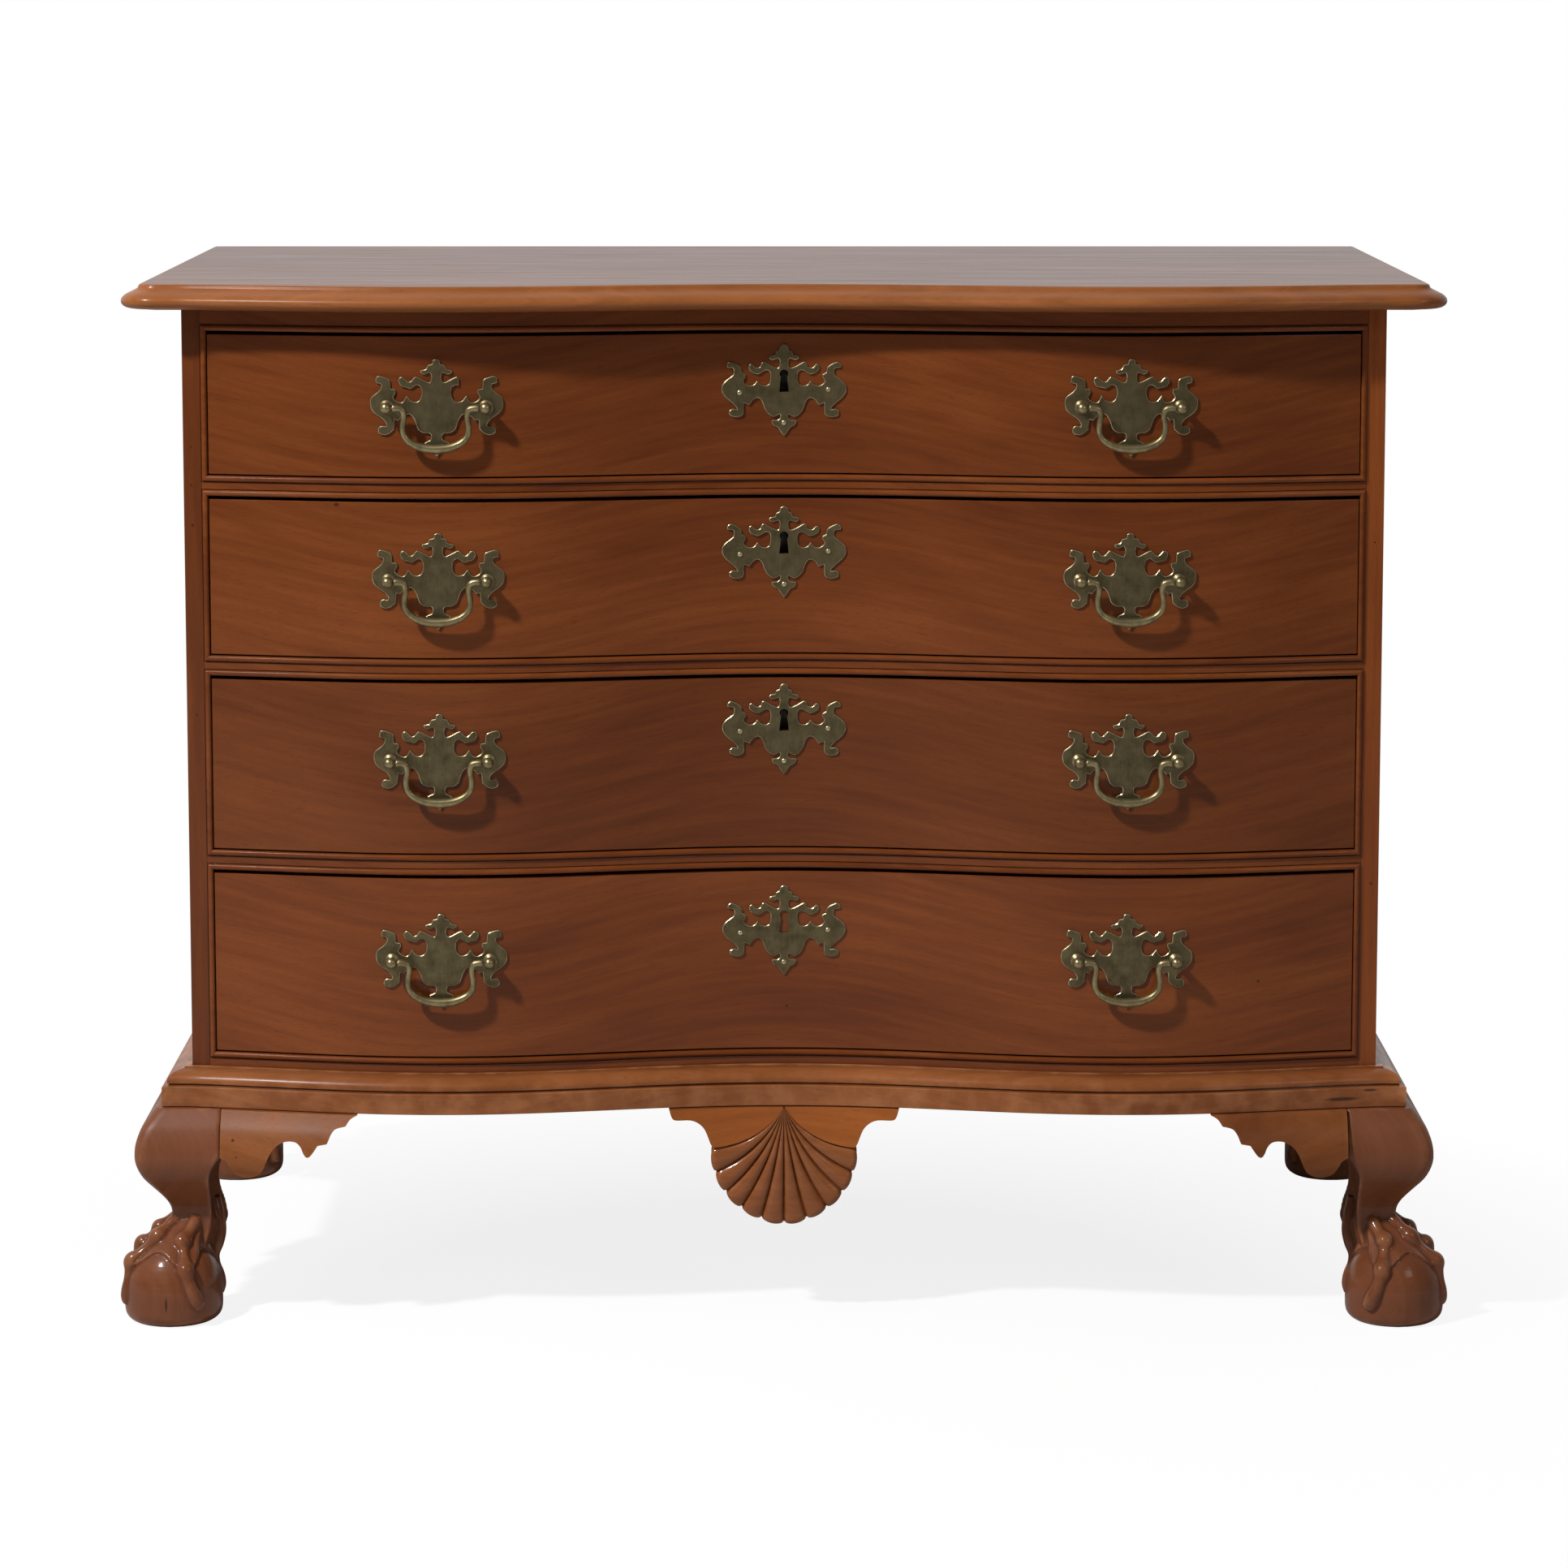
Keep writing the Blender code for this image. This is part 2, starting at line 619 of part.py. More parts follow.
def plate_shoulder():
    """The right shoulder of the pendant's plate, from the moulding to the shell, hollowed by a cove."""
    end_x, end_drop, _ = shell_edge()[0]
    start_x = PLATE_HALF_WIDTH - PLATE_EDGE_SLOPE
    points = [(PLATE_HALF_WIDTH, 0.0, 0.0)]
    for k in range(COVE_STEPS):
        turn = math.pi / 2 * k / COVE_STEPS
        x = start_x - (start_x - end_x) * math.sin(turn)
        points.append((x, PLATE_EDGE_DROP + (end_drop - PLATE_EDGE_DROP) * (1 - math.cos(turn)), 0.0))
    return points


def make_pendant():
    face_y = CENTRE_Y - MOULDING_PROUD + SHELL_SET_BACK
    hinge = FOOT_HEIGHT - GLUE_GAP
    right = plate_shoulder()
    left = [(-x, drop, back) for x, drop, back in reversed(right)]
    edge = [(0.0, 0.0, 0.0)] + right + shell_edge() + left
    shape = bmesh.new()
    front = [shape.verts.new((x, face_y + back, hinge - drop)) for x, drop, back in edge]
    rear = [shape.verts.new((x, face_y + SHELL_THICKNESS, hinge - drop)) for x, drop, _ in edge]
    shape.faces.new(rear)
    for k in range(len(edge)):
        n = (k + 1) % len(edge)
        shape.faces.new((front[k], front[n], rear[n], rear[k]))
    for k in range(1, len(edge) - 1):
        shape.faces.new((front[0], front[k], front[k + 1]))
    pendant = to_object("shell_pendant", shape)
    low = (-PLATE_HALF_WIDTH, CENTRE_Y + GLUE_GAP, hinge - PLATE_EDGE_DROP / 2)
    high = (PLATE_HALF_WIDTH, face_y + SHELL_THICKNESS + GLUE_GAP, CASE_BOTTOM - GLUE_GAP)
    join(pendant, box("tongue", low, high))
    finish(pendant, MAHOGANY_PALE)


# Drawers
def drawer_fields():
    """Each drawer's number, with the foot and head of its opening."""
    fields = []
    level = OPENING_FLOOR
    for number, height in zip(DRAWER_NUMBERS, OPENING_HEIGHTS):
        fields.append((number, level, level + height))
        level += height + BLADE_HEIGHT
    return fields


def make_drawer(number, foot, head):
    """A drawer with its front, box, pulls and escutcheon, and a lock where it has one."""
    half = OPENING_HALF - DRAWER_SIDE_GAP
    z0 = foot + DRAWER_FOOT_GAP
    z1 = head - DRAWER_TOP_GAP
    slide = empty(f"drawer_{number}_slide", (0.0, CENTRE_Y, (z0 + z1) / 2))
    front = make_drawer_front(f"drawer_{number}_front", half, z0, z1)
    pieces = [front, make_drawer_box(f"drawer_{number}_box", half, foot + RUN_GAP, z1 - BOX_TOP_STEP)]
    for side, sign in (("left", -1), ("right", 1)):
        pull = (sign * LOBE_X, (z0 + z1) / 2 + PULL_RISES[number])
        pieces += make_pull(f"{number}_{side}", *pull)
        for x in post_places(pull[0]):
            hole = [(x + u, pull[1] + v) for u, v, _ in circle(0, 0, 0, POST_HOLE, HOLE_SIDES)]
            cut(front, prism("post_hole", hole, LOBE_Y - CUT_PAST, LOBE_Y + CUT_PAST))
    tip = z1 - ESCUTCHEON_DROPS[number]
    escutcheon = make_escutcheon(f"escutcheon_{number}", tip)
    pieces.append(escutcheon)
    if number in LOCKED_DRAWERS:
        pieces += make_lock(number, z1)
        cut(front, lock_recess(z1))
        for item in (front, bpy.data.objects[f"lock_{number}"]):
            cut(item, keyhole(tip - KEYHOLE_DROP))
    for item in pieces:
        carry(item, slide)


def make_drawer_front(name, half, z0, z1):
    loops = []
    for x in strip_edges(-half, half):
        y = front_y(x)
        back = y + FRONT_THICKNESS
        loops.append([(x, y, z0), (x, y, z1), (x, back, z1), (x, back, z0)])
    item = loft(name, loops)
    finish(item, MAHOGANY)
    return item


def make_drawer_box(name, half, z0, z1):
    """The drawer's sides, back and bottom. The bottom is raised, so the drawer runs on its sides."""
    back_y = BACK_FACE_Y - BOX_REAR_ROOM
    loops = []
    for x in strip_edges(-half, half):
        y = front_y(x) + FRONT_THICKNESS + GLUE_GAP
        loops.append([(x, y, z0), (x, y, z1), (x, back_y, z1), (x, back_y, z0)])
    item = loft(name, loops)
    inner = half - BOX_SIDE
    underside = z0 + BOX_BOTTOM_RAISE
    ahead = LOBE_Y - CUT_PAST
    room = box("room", (-inner, ahead, underside + BOX_BOTTOM), (inner, back_y - BOX_BACK, z1 + CUT_PAST))
    cut(item, room)
    cut(item, box("under", (-inner, ahead, z0 - CUT_PAST), (inner, back_y + CUT_PAST, underside)))
    finish(item, POPLAR)
    return item


# Brass
def curved_plate(name, outline, thickness):
    """A thin plate with an outline in X and Z, bent to the swelled front."""
    shape = bmesh.new()
    shape.faces.new([shape.verts.new((x, 0, z)) for x, z in outline])
    for x in GRID_X:
        whole = shape.verts[:] + shape.edges[:] + shape.faces[:]
        bmesh.ops.bisect_plane(shape, geom=whole, dist=SNAP, plane_co=(x, 0, 0), plane_no=(1, 0, 0))
    grown = bmesh.ops.extrude_face_region(shape, geom=shape.faces[:], use_keep_orig=True)
    fresh = [part for part in grown["geom"] if isinstance(part, bmesh.types.BMVert)]
    bmesh.ops.translate(shape, verts=fresh, vec=(0, -thickness, 0))
    bmesh.ops.triangulate(shape, faces=shape.faces[:])
    for vert in shape.verts:
        vert.co.y += front_y(vert.co.x) - GLUE_GAP
    return to_object(name, shape)


def mirrored(half_outline):
    """A whole outline from its left half, both ends of which lie on the middle line."""
    return [(-u, v) for u, v in half_outline] + [(u, v) for u, v in reversed(half_outline[1:-1])]


def post_places(x):
    return (x - POST_SPACING / 2, x + POST_SPACING / 2)


def bail_axis_y():
    return LOBE_Y - GLUE_GAP - PLATE_THICKNESS - BAIL_STANDOFF


def make_post(x, z, inward):
    """A ball-headed post with a shank through the drawer front, bored for the bail's pin."""
    axis_y = bail_axis_y()
    plate_y = front_y(x) - GLUE_GAP - PLATE_THICKNESS
    seat_y = plate_y + PLATE_THICKNESS / 2
    tail_y = front_y(x) + FRONT_THICKNESS + POST_TAIL
    rings = [(tail_y, POST_SHANK), (seat_y, POST_SHANK)]
    rings += [(seat_y - GLUE_GAP, POST_COLLAR), (plate_y - POST_COLLAR_HEIGHT, POST_NECK)]
    for turn in POST_HEAD_TURNS:
        rings.append((axis_y - POST_HEAD * math.sin(turn), POST_HEAD * math.cos(turn)))
    loops = []
    for y, radius in rings:
        loops.append([(x + u, y, z + v) for u, v, _ in circle(0, 0, 0, radius, POST_SIDES)])
    post = loft("post", loops)
    bore = []
    for reach in (POST_HEAD - PIN_DEPTH, POST_HEAD + PIN_DEPTH):
        ring = circle(axis_y, z, 0, PIN_HOLE, POST_SIDES)
        bore.append([(x + inward * reach, y, level) for y, level, _ in ring])
    cut(post, loft("bore", bore))
    return post


def make_pull(label, x, z):
    """A pull: its plate with two posts, and the bail that swings on them."""
    outline = [(x + u, z + v) for u, v in mirrored(PULL_OUTLINE)]
    plate = curved_plate(f"pull_plate_{label}", outline, PLATE_THICKNESS)
    for post_x, inward in zip(post_places(x), (1, -1)):
        join(plate, make_post(post_x, z, inward))
    finish(plate, BRASS)
    inside = POST_SPACING / 2 - POST_HEAD
    shoulder = inside - 2 * RUN_GAP
    half = [(inside + PIN_DEPTH - RUN_GAP, 0.0, PIN_RADIUS), (shoulder, 0.0, PIN_RADIUS)]
    half += [(shoulder - RUN_GAP, 0.0, BAIL_SHOULDER), *BAIL]
    whole = half + [(-u, drop, radius) for u, drop, radius in reversed(half[:-1])]
    path = [Vector((x + u, bail_axis_y(), z - drop)) for u, drop, _ in whole]
    rings = tube_rings(path, [radius for *_, radius in whole], Vector((0, 1, 0)), BAIL_SIDES)
    bail = loft(f"bail_{label}", rings)
    pivot_at(bail, (x, bail_axis_y(), z))
    finish(bail, BRASS)
    return [plate, bail]


def keyhole(z):
    """A cutter for a keyhole whose round head is centred at z."""
    skirt = [(half, z - drop) for half, drop in KEYHOLE_SKIRT]
    outline = [(-x, level) for x, level in reversed(skirt)]
    start = math.asin(-KEYHOLE_HEAD_FOOT / KEYHOLE_HEAD)
    for k in range(KEYHOLE_HEAD_STEPS + 1):
        turn = math.pi - start - (math.pi - 2 * start) * k / KEYHOLE_HEAD_STEPS
        outline.append((KEYHOLE_HEAD * math.cos(turn), z + KEYHOLE_HEAD * math.sin(turn)))
    outline += skirt
    return prism("keyhole", outline, CENTRE_Y - CUT_PAST, CENTRE_Y + CUT_PAST)


def make_escutcheon(name, tip):
    outline = [(u, tip - drop) for u, drop in mirrored(ESCUTCHEON_OUTLINE)]
    plate = curved_plate(name, outline, ESCUTCHEON_THICKNESS)
    cut(plate, keyhole(tip - KEYHOLE_DROP))
    finish(plate, BRASS)
    return plate


# Locks
def lock_faces():
    """The front and back of a lock let into the inside of a drawer front."""
    inside = CENTRE_Y + FRONT_THICKNESS
    return (inside - LOCK_LET_IN, inside + LOCK_PROUD)


def bolt_box(name, foot, head, room):
    """The bolt's block, or the room for it, between two heights."""
    middle = sum(lock_faces()) / 2
    half = BOLT_WIDTH / 2 + room
    depth = BOLT_THICKNESS / 2 + room
    return box(name, (-half, middle - depth, foot), (half, middle + depth, head))


def lock_recess(z1):
    front, back = lock_faces()
    half = LOCK_WIDTH / 2 + GLUE_GAP
    low = (-half, front - GLUE_GAP, z1 - LOCK_HEIGHT - GLUE_GAP)
    return box("recess", low, (half, back + CUT_PAST, z1 + CUT_PAST))


def make_lock(number, z1):
    front, back = lock_faces()
    half = LOCK_WIDTH / 2
    lock = box(f"lock_{number}", (-half, front, z1 - LOCK_HEIGHT), (half, back, z1))
    head = z1 - BOLT_SUNK
    foot = head - BOLT_HEIGHT
    cut(lock, bolt_box("slot", foot - RUN_GAP, z1 + CUT_PAST, RUN_GAP))
    finish(lock, IRON)
    bolt = bolt_box(f"lock_bolt_{number}", foot, head, 0.0)
    pivot_at(bolt, (0.0, sum(lock_faces()) / 2, head))
    finish(bolt, IRON)
    return [lock, bolt]


def cut_mortise(rail, underside):
    """The mortise in a rail that takes the bolt of the drawer below."""
    reach = BOLT_TRAVEL - BOLT_SUNK - DRAWER_TOP_GAP + BOLT_ROOM
    cut(rail, bolt_box("mortise", underside - CUT_PAST, underside + reach, BOLT_ROOM))


def main():
    clear_scene()
    make_top()
    make_side("side_left", -1)
    make_side("side_right", 1)
    make_bottom_and_back()
    make_rails()
    make_base_moulding()
    make_feet()
    make_brackets()
    make_pendant()
    for field in drawer_fields():
        make_drawer(*field)


main()
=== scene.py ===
"""The finished looks of the reverse-serpentine chest of drawers: carved mahogany, poplar, brass and iron.

Metres, +Z up, the front towards -Y. Every piece sits at the origin with its place in its mesh.
"""

import math

import bmesh
import bpy
import numpy as np
from mathutils import Matrix, Vector


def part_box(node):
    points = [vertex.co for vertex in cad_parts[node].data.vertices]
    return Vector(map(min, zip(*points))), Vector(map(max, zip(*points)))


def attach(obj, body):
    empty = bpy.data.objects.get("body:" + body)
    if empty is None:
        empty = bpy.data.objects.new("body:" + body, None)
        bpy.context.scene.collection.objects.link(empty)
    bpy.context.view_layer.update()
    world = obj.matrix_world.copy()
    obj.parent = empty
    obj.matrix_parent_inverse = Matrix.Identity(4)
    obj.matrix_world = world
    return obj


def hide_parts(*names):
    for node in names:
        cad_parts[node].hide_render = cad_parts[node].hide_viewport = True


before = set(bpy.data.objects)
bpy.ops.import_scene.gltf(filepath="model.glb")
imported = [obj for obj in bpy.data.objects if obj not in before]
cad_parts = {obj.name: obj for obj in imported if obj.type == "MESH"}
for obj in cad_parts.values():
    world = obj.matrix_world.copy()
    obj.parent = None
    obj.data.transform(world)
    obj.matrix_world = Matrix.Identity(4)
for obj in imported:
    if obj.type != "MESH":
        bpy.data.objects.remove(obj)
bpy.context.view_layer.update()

# Measures taken from the frame
CASE_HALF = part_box("side_right")[1].x
OPENING_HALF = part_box("side_right")[0].x
CASE_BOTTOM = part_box("side_right")[0].z
CASE_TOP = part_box("side_right")[1].z
CASE_BACK_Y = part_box("back_board")[1].y
BACK_FACE_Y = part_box("back_board")[0].y
BLADE_BACK_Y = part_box("drawer_blade_1")[1].y
LOBE_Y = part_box("drawer_4_front")[0].y
LOBE_X = sum(corner.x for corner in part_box("bail_1_right")) / 2
FOOT_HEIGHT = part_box("base_moulding_front")[0].z
TOP_LOW, TOP_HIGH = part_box("top")

# The swelled front
WAVE_DEPTH = 0.034
WAVE_STEPS = 112
CENTRE_Y = LOBE_Y + WAVE_DEPTH
FIT = 0.0003

# Top board: its moulded edge as (set back from the nose, share of the thickness above the underside)
TOP_EDGE = (
    (0.0240, 0.00), (0.0130, 0.05), (0.0066, 0.08), (0.0026, 0.15), (0.0004, 0.27), (0.0002, 0.40),
    (0.0016, 0.52), (0.0046, 0.63), (0.0084, 0.71), (0.0114, 0.78), (0.0130, 0.86), (0.0136, 0.93),
    (0.0146, 0.98), (0.0162, 1.00),
)
TOP_HALF = TOP_HIGH.x - 0.0040
TOP_CORNER = 0.028
TOP_CORNER_STEPS = 10
TOP_THICKNESS = TOP_HIGH.z - TOP_LOW.z

# Beads round the openings
BEAD_ROOM = 0.0052
BEAD_WIDTH = 0.0045
BEAD_PROUD = 0.0022
BEAD_SUNK = 0.0014
BEAD_STEPS = 8

# Base moulding, as (proud of the case, height)
FASCIA_PROUD = 0.0214
MOULDING_SECTION = (
    (0.0003, 0.0000), (0.0208, 0.0000), (FASCIA_PROUD, 0.0006), (FASCIA_PROUD, 0.0150), (0.0206, 0.0158),
    (0.0166, 0.0160), (0.0162, 0.0170), (0.0174, 0.0174), (0.0177, 0.0190), (0.0170, 0.0213),
    (0.0152, 0.0236), (0.0124, 0.0255), (0.0090, 0.0266), (0.0058, 0.0271), (0.0052, 0.0277),
    (0.0052, 0.0285), (0.0003, 0.0285),
)

# Feet: the leg's levels as (height, reach out of the corner, inner end, inner corner, hollow, arris round)
LEG_LEVELS = (
    (0.1670, 0.0258, -0.0250, -0.0250, 0.0000, 0.0090), (0.1630, 0.0292, -0.0250, -0.0250, 0.0000, 0.0090),
    (0.1550, 0.0352, -0.0250, -0.0250, 0.0000, 0.0088), (0.1475, 0.0387, -0.0250, -0.0250, 0.0000, 0.0088),
    (0.1400, 0.0409, -0.0250, -0.0250, 0.0000, 0.0086), (0.1330, 0.0416, -0.0247, -0.0250, 0.0000, 0.0084),
    (0.1265, 0.0411, -0.0205, -0.0232, 0.0012, 0.0080), (0.1195, 0.0388, -0.0168, -0.0205, 0.0030, 0.0074),
    (0.1125, 0.0350, -0.0153, -0.0185, 0.0048, 0.0068), (0.1050, 0.0290, -0.0152, -0.0180, 0.0060, 0.0060),
    (0.0980, 0.0233, -0.0152, -0.0188, 0.0066, 0.0054), (0.0915, 0.0188, -0.0151, -0.0202, 0.0066, 0.0050),
    (0.0855, 0.0164, -0.0150, -0.0220, 0.0058, 0.0048), (0.0780, 0.0158, -0.0148, -0.0232, 0.0040, 0.0048),
    (0.0700, 0.0162, -0.0140, -0.0236, 0.0010, 0.0048), (0.0560, 0.0185, -0.0100, -0.0180, 0.0000, 0.0048),
)
LEG_STEPS = 5
LEG_INSET = 0.0250
LEG_EASE = 0.0022
LEG_ARRIS_STEPS = 4
LEG_POST_ARRIS = 0.004
LEG_POST_FOOT = 0.0002
BALL_OUT = 0.0150
BALL_RADIUS = 0.0378
BALL_WIDEST = 0.023
BALL_UPPER = 0.041
BALL_BASE_DRAW = 0.18
BALL_BASE_POWER = 7
BALL_SIDES = 64
BALL_RINGS = 14
# The web of skin over the ball from the ankle, given as (set back, height, radius); its rim dips at each toe
WEB_ANKLE = (0.0140, 0.0800, 0.0135)
WEB_RIM = 0.0575
WEB_DIP = 0.0130
WEB_TOE_WIDTH = 0.42
WEB_PROUD = 0.0026
WEB_LEAN_POWER = 1.2
WEB_SPREAD_POWER = 1.3
WEB_RINGS = 9
# Each toe from the ankle to its talon, as (outward, forward, height, radius) from the ball's axis
TOES = (
    ((-0.0040, -0.0040, 0.0790, 0.0036), (-0.0004, -0.0010, 0.0752, 0.0052), (0.0052, 0.0032, 0.0706, 0.0046),
     (0.0106, 0.0074, 0.0655, 0.0072), (0.0168, 0.0094, 0.0582, 0.0047), (0.0234, 0.0108, 0.0528, 0.0049),
     (0.0302, 0.0114, 0.0472, 0.0070), (0.0318, 0.0120, 0.0400, 0.0048), (0.0323, 0.0124, 0.0330, 0.0050),
     (0.0334, 0.0128, 0.0250, 0.0058), (0.0338, 0.0126, 0.0190, 0.0058), (0.0330, 0.0122, 0.0150, 0.0048)),
    ((-0.0192, -0.0040, 0.0790, 0.0036), (-0.0168, 0.0006, 0.0752, 0.0052), (-0.0133, 0.0080, 0.0690, 0.0046),
     (-0.0092, 0.0142, 0.0630, 0.0072), (-0.0098, 0.0190, 0.0566, 0.0047), (-0.0112, 0.0246, 0.0506, 0.0049),
     (-0.0128, 0.0302, 0.0442, 0.0070), (-0.0145, 0.0324, 0.0375, 0.0049), (-0.0166, 0.0330, 0.0315, 0.0051),
     (-0.0190, 0.0324, 0.0255, 0.0058), (-0.0213, 0.0310, 0.0200, 0.0059), (-0.0228, 0.0294, 0.0160, 0.0049)),
    ((-0.0050, -0.0205, 0.0790, 0.0036), (-0.0008, -0.0176, 0.0756, 0.0050),
     (0.0060, -0.0146, 0.0716, 0.0046), (0.0112, -0.0124, 0.0678, 0.0070), (0.0156, -0.0120, 0.0622, 0.0047),
     (0.0200, -0.0125, 0.0585, 0.0049), (0.0248, -0.0132, 0.0548, 0.0072), (0.0282, -0.0150, 0.0465, 0.0049),
     (0.0298, -0.0168, 0.0365, 0.0051), (0.0310, -0.0180, 0.0255, 0.0057), (0.0311, -0.0184, 0.0195, 0.0057),
     (0.0302, -0.0184, 0.0155, 0.0048)),
    ((-0.0290, -0.0280, 0.0880, 0.0050), (-0.0310, -0.0255, 0.0770, 0.0062),
     (-0.0322, -0.0225, 0.0640, 0.0066), (-0.0310, -0.0195, 0.0545, 0.0062),
     (-0.0290, -0.0175, 0.0460, 0.0050), (-0.0295, -0.0175, 0.0375, 0.0050),
     (-0.0317, -0.0187, 0.0295, 0.0056), (-0.0330, -0.0196, 0.0215, 0.0054),
     (-0.0322, -0.0196, 0.0150, 0.0044)),
)
TOE_CROSSING = 5
TOE_STEPS = 5
TOE_SIDES = 16
TOE_TIP = 0.0012
TOE_TIP_SHARE = 0.6
TOE_TILT = 0.012
CARVING_GRAIN = 0.0009
CARVING_SMOOTH = 3
REAR_FOOT_SETBACK = 0.0564

# Knee brackets: runs of the scrolled edge between its corners, as (distance from the leg, drop)
BRACKET_RUNS = (
    ((0.0000, 0.0345), (0.0051, 0.0375), (0.0083, 0.0430), (0.0125, 0.0478), (0.0215, 0.0500),
     (0.0305, 0.0463), (0.0345, 0.0403), (0.0377, 0.0326), (0.0425, 0.0250), (0.0504, 0.0203),
     (0.0585, 0.0201), (0.0628, 0.0234), (0.0650, 0.0280), (0.0672, 0.0309), (0.0697, 0.0306),
     (0.0724, 0.0276), (0.0762, 0.0220)),
    ((0.0832, 0.0206), (0.0842, 0.0186), (0.0858, 0.0146), (0.0894, 0.0100), (0.0965, 0.0080)),
    ((0.0974, 0.0077), (0.1008, 0.0030), (0.1060, 0.0002)),
)
BRACKET_BACK = 0.016
BRACKET_LENGTH = 0.1060
BRACKET_DEPTH = 0.054
BRACKET_LEVELS = 18
BRACKET_CUTS = 28
SCROLL_STEPS = 4

# Shell pendant
SHELL_LOBES = 10
SHELL_LOBE_STEPS = 10
SHELL_RINGS = 44
SHELL_HALF_SPREAD = math.radians(59.6)
SHELL_TOP = FOOT_HEIGHT - 0.0008
SHELL_DROP = 0.0915
SHELL_SIDE_REACH = 0.0632
SHELL_LOBE_SWELL = 0.0024
SHELL_THICKNESS = 0.022
SHELL_FORWARD = 0.0202
SHELL_PROUD = 0.0008
SHELL_GROOVE = 0.0034
SHELL_GROOVE_START = 0.15
SHELL_GROOVE_RATE = 1.5
SHELL_ROUND = 0.45
SHELL_FLARE = 0.5
SHELL_END_LOBES = 0.06
SHELL_FALL_POWER = 1.6
SHELL_HINGE = 0.02
SHELL_RIM = 0.05
SHELL_RIM_SUNK = 0.0022
TONGUE_DROP = 0.004
TONGUE_THICKNESS = 0.0045
# The right wing of the pendant's plate from the moulding to the shell, as (out from the middle, drop)
WING_EDGE = (
    (0.0885, 0.0000), (0.0868, 0.0062), (0.0850, 0.0090), (0.0815, 0.0098), (0.0720, 0.0100),
    (0.0660, 0.0125), (0.0615, 0.0170), (0.0588, 0.0230), (0.0566, 0.0290), (0.0549, 0.0314),
)
WING_STEPS = 14
WING_CUTS = 12

# Brass pulls
POST_SPACING = 0.075
PLATE_THICKNESS = 0.0016
PLATE_FILED = 0.0005
PLATE_CUTS = 16
PLATE_RIM = 0.00055
BAIL_STANDOFF = 0.0100
BAIL_LEAN = 0.05
# A post's tail behind the drawer front, its collar as (proud of the plate, radius), and its ball head
POST_TAIL = 0.004
POST_TAIL_EASE = 0.0004
POST_TAIL_RADII = (0.0020, 0.0024)
POST_COLLAR = (
    (-0.0004, 0.0024), (-0.0004, 0.0052), (0.0006, 0.0054), (0.0014, 0.0046), (0.0026, 0.0030),
    (0.0040, 0.0027),
)
POST_HEAD = 0.0046
POST_HEAD_TURNS = (-0.75, 1.50)
POST_HEAD_STEPS = 8
POST_SIDES = 20
NUT_HALF = 0.005
NUT_GAP = 0.0002
NUT_HEIGHT = 0.0030
# Half a bail from its pivot to its middle, as (out from the middle, drop, radius)
BAIL_HALF = (
    (0.0355, 0.0000, 0.0012), (0.0324, 0.0000, 0.0012), (0.0322, 0.0000, 0.0030), (0.0285, 0.0000, 0.0029),
    (0.0250, 0.0014, 0.0026), (0.0238, 0.0062, 0.0023), (0.0249, 0.0145, 0.0023), (0.0236, 0.0212, 0.0024),
    (0.0188, 0.0264, 0.0027), (0.0100, 0.0300, 0.0033), (0.0000, 0.0311, 0.0037),
)
BAIL_STEPS = 5
BAIL_SIDES = 14
# The left half of a pull plate from its tip down, in millimetres out from the middle and above the posts
PULL_HALF = (
    (0, 36.3), (2.4, 35.4), (2.9, 32.6), (6.1, 31.8), (7.8, 28.6), (11.8, 27.8), (11.4, 25.8), (8.7, 24.6),
    (4.9, 26.2), (3.7, 22.7), (4.8, 18.9), (7.2, 19.1), (11.2, 21.1), (15.8, 23.1), (18.7, 19.9),
    (21.5, 19.1), (24.6, 22.3), (27, 22.7), (28.6, 20.7), (28.2, 18.3), (26.3, 15.5), (22.4, 14.7),
    (19.3, 13.9), (15.3, 16.7), (12.1, 15.5), (11, 11.5), (11.9, 6.8), (14.7, 4), (19.5, 4.8),
    (22.5, 8.7), (24.3, 5.2),
    (26.8, 3.3), (30.8, 4.8), (32.7, 7.6), (31, 10.7), (31.4, 13.5), (34.6, 13.9), (34.9, 17.9), (35.6, 20.7),
    (37.6, 21.9), (43.5, 23.5), (45.5, 21.9), (45.6, 18.3), (41.7, 17.1), (42.1, 13.9), (45, 10.7), (49, 7.6),
    (50.3, 3.6), (49.3, -2), (45.4, -6), (40.7, -9.1), (38, -12.7), (38.5, -14.7), (41.6, -14.3), (44, -15.9),
    (44.1, -19.5), (40.2, -21.3), (36.2, -20.3), (33.4, -17.9), (32.2, -16.3), (31.6, -9.5), (28.9, -10.3),
    (26.1, -7.2), (20.5, -5.2), (17, -9.1), (15.5, -13.1), (13.9, -17.1), (10, -19.5), (5.2, -19.9),
    (4.1, -21.9), (4.9, -25), (9.3, -27), (7, -30), (3, -33), (0, -37.4),
)
# On one plate the inner scroll arm is broken off short: the points from the first to the last named here
BROKEN_ARM = (14, 22)
BROKEN_STUB = ((17.0, 20.2), (16.6, 16.0))

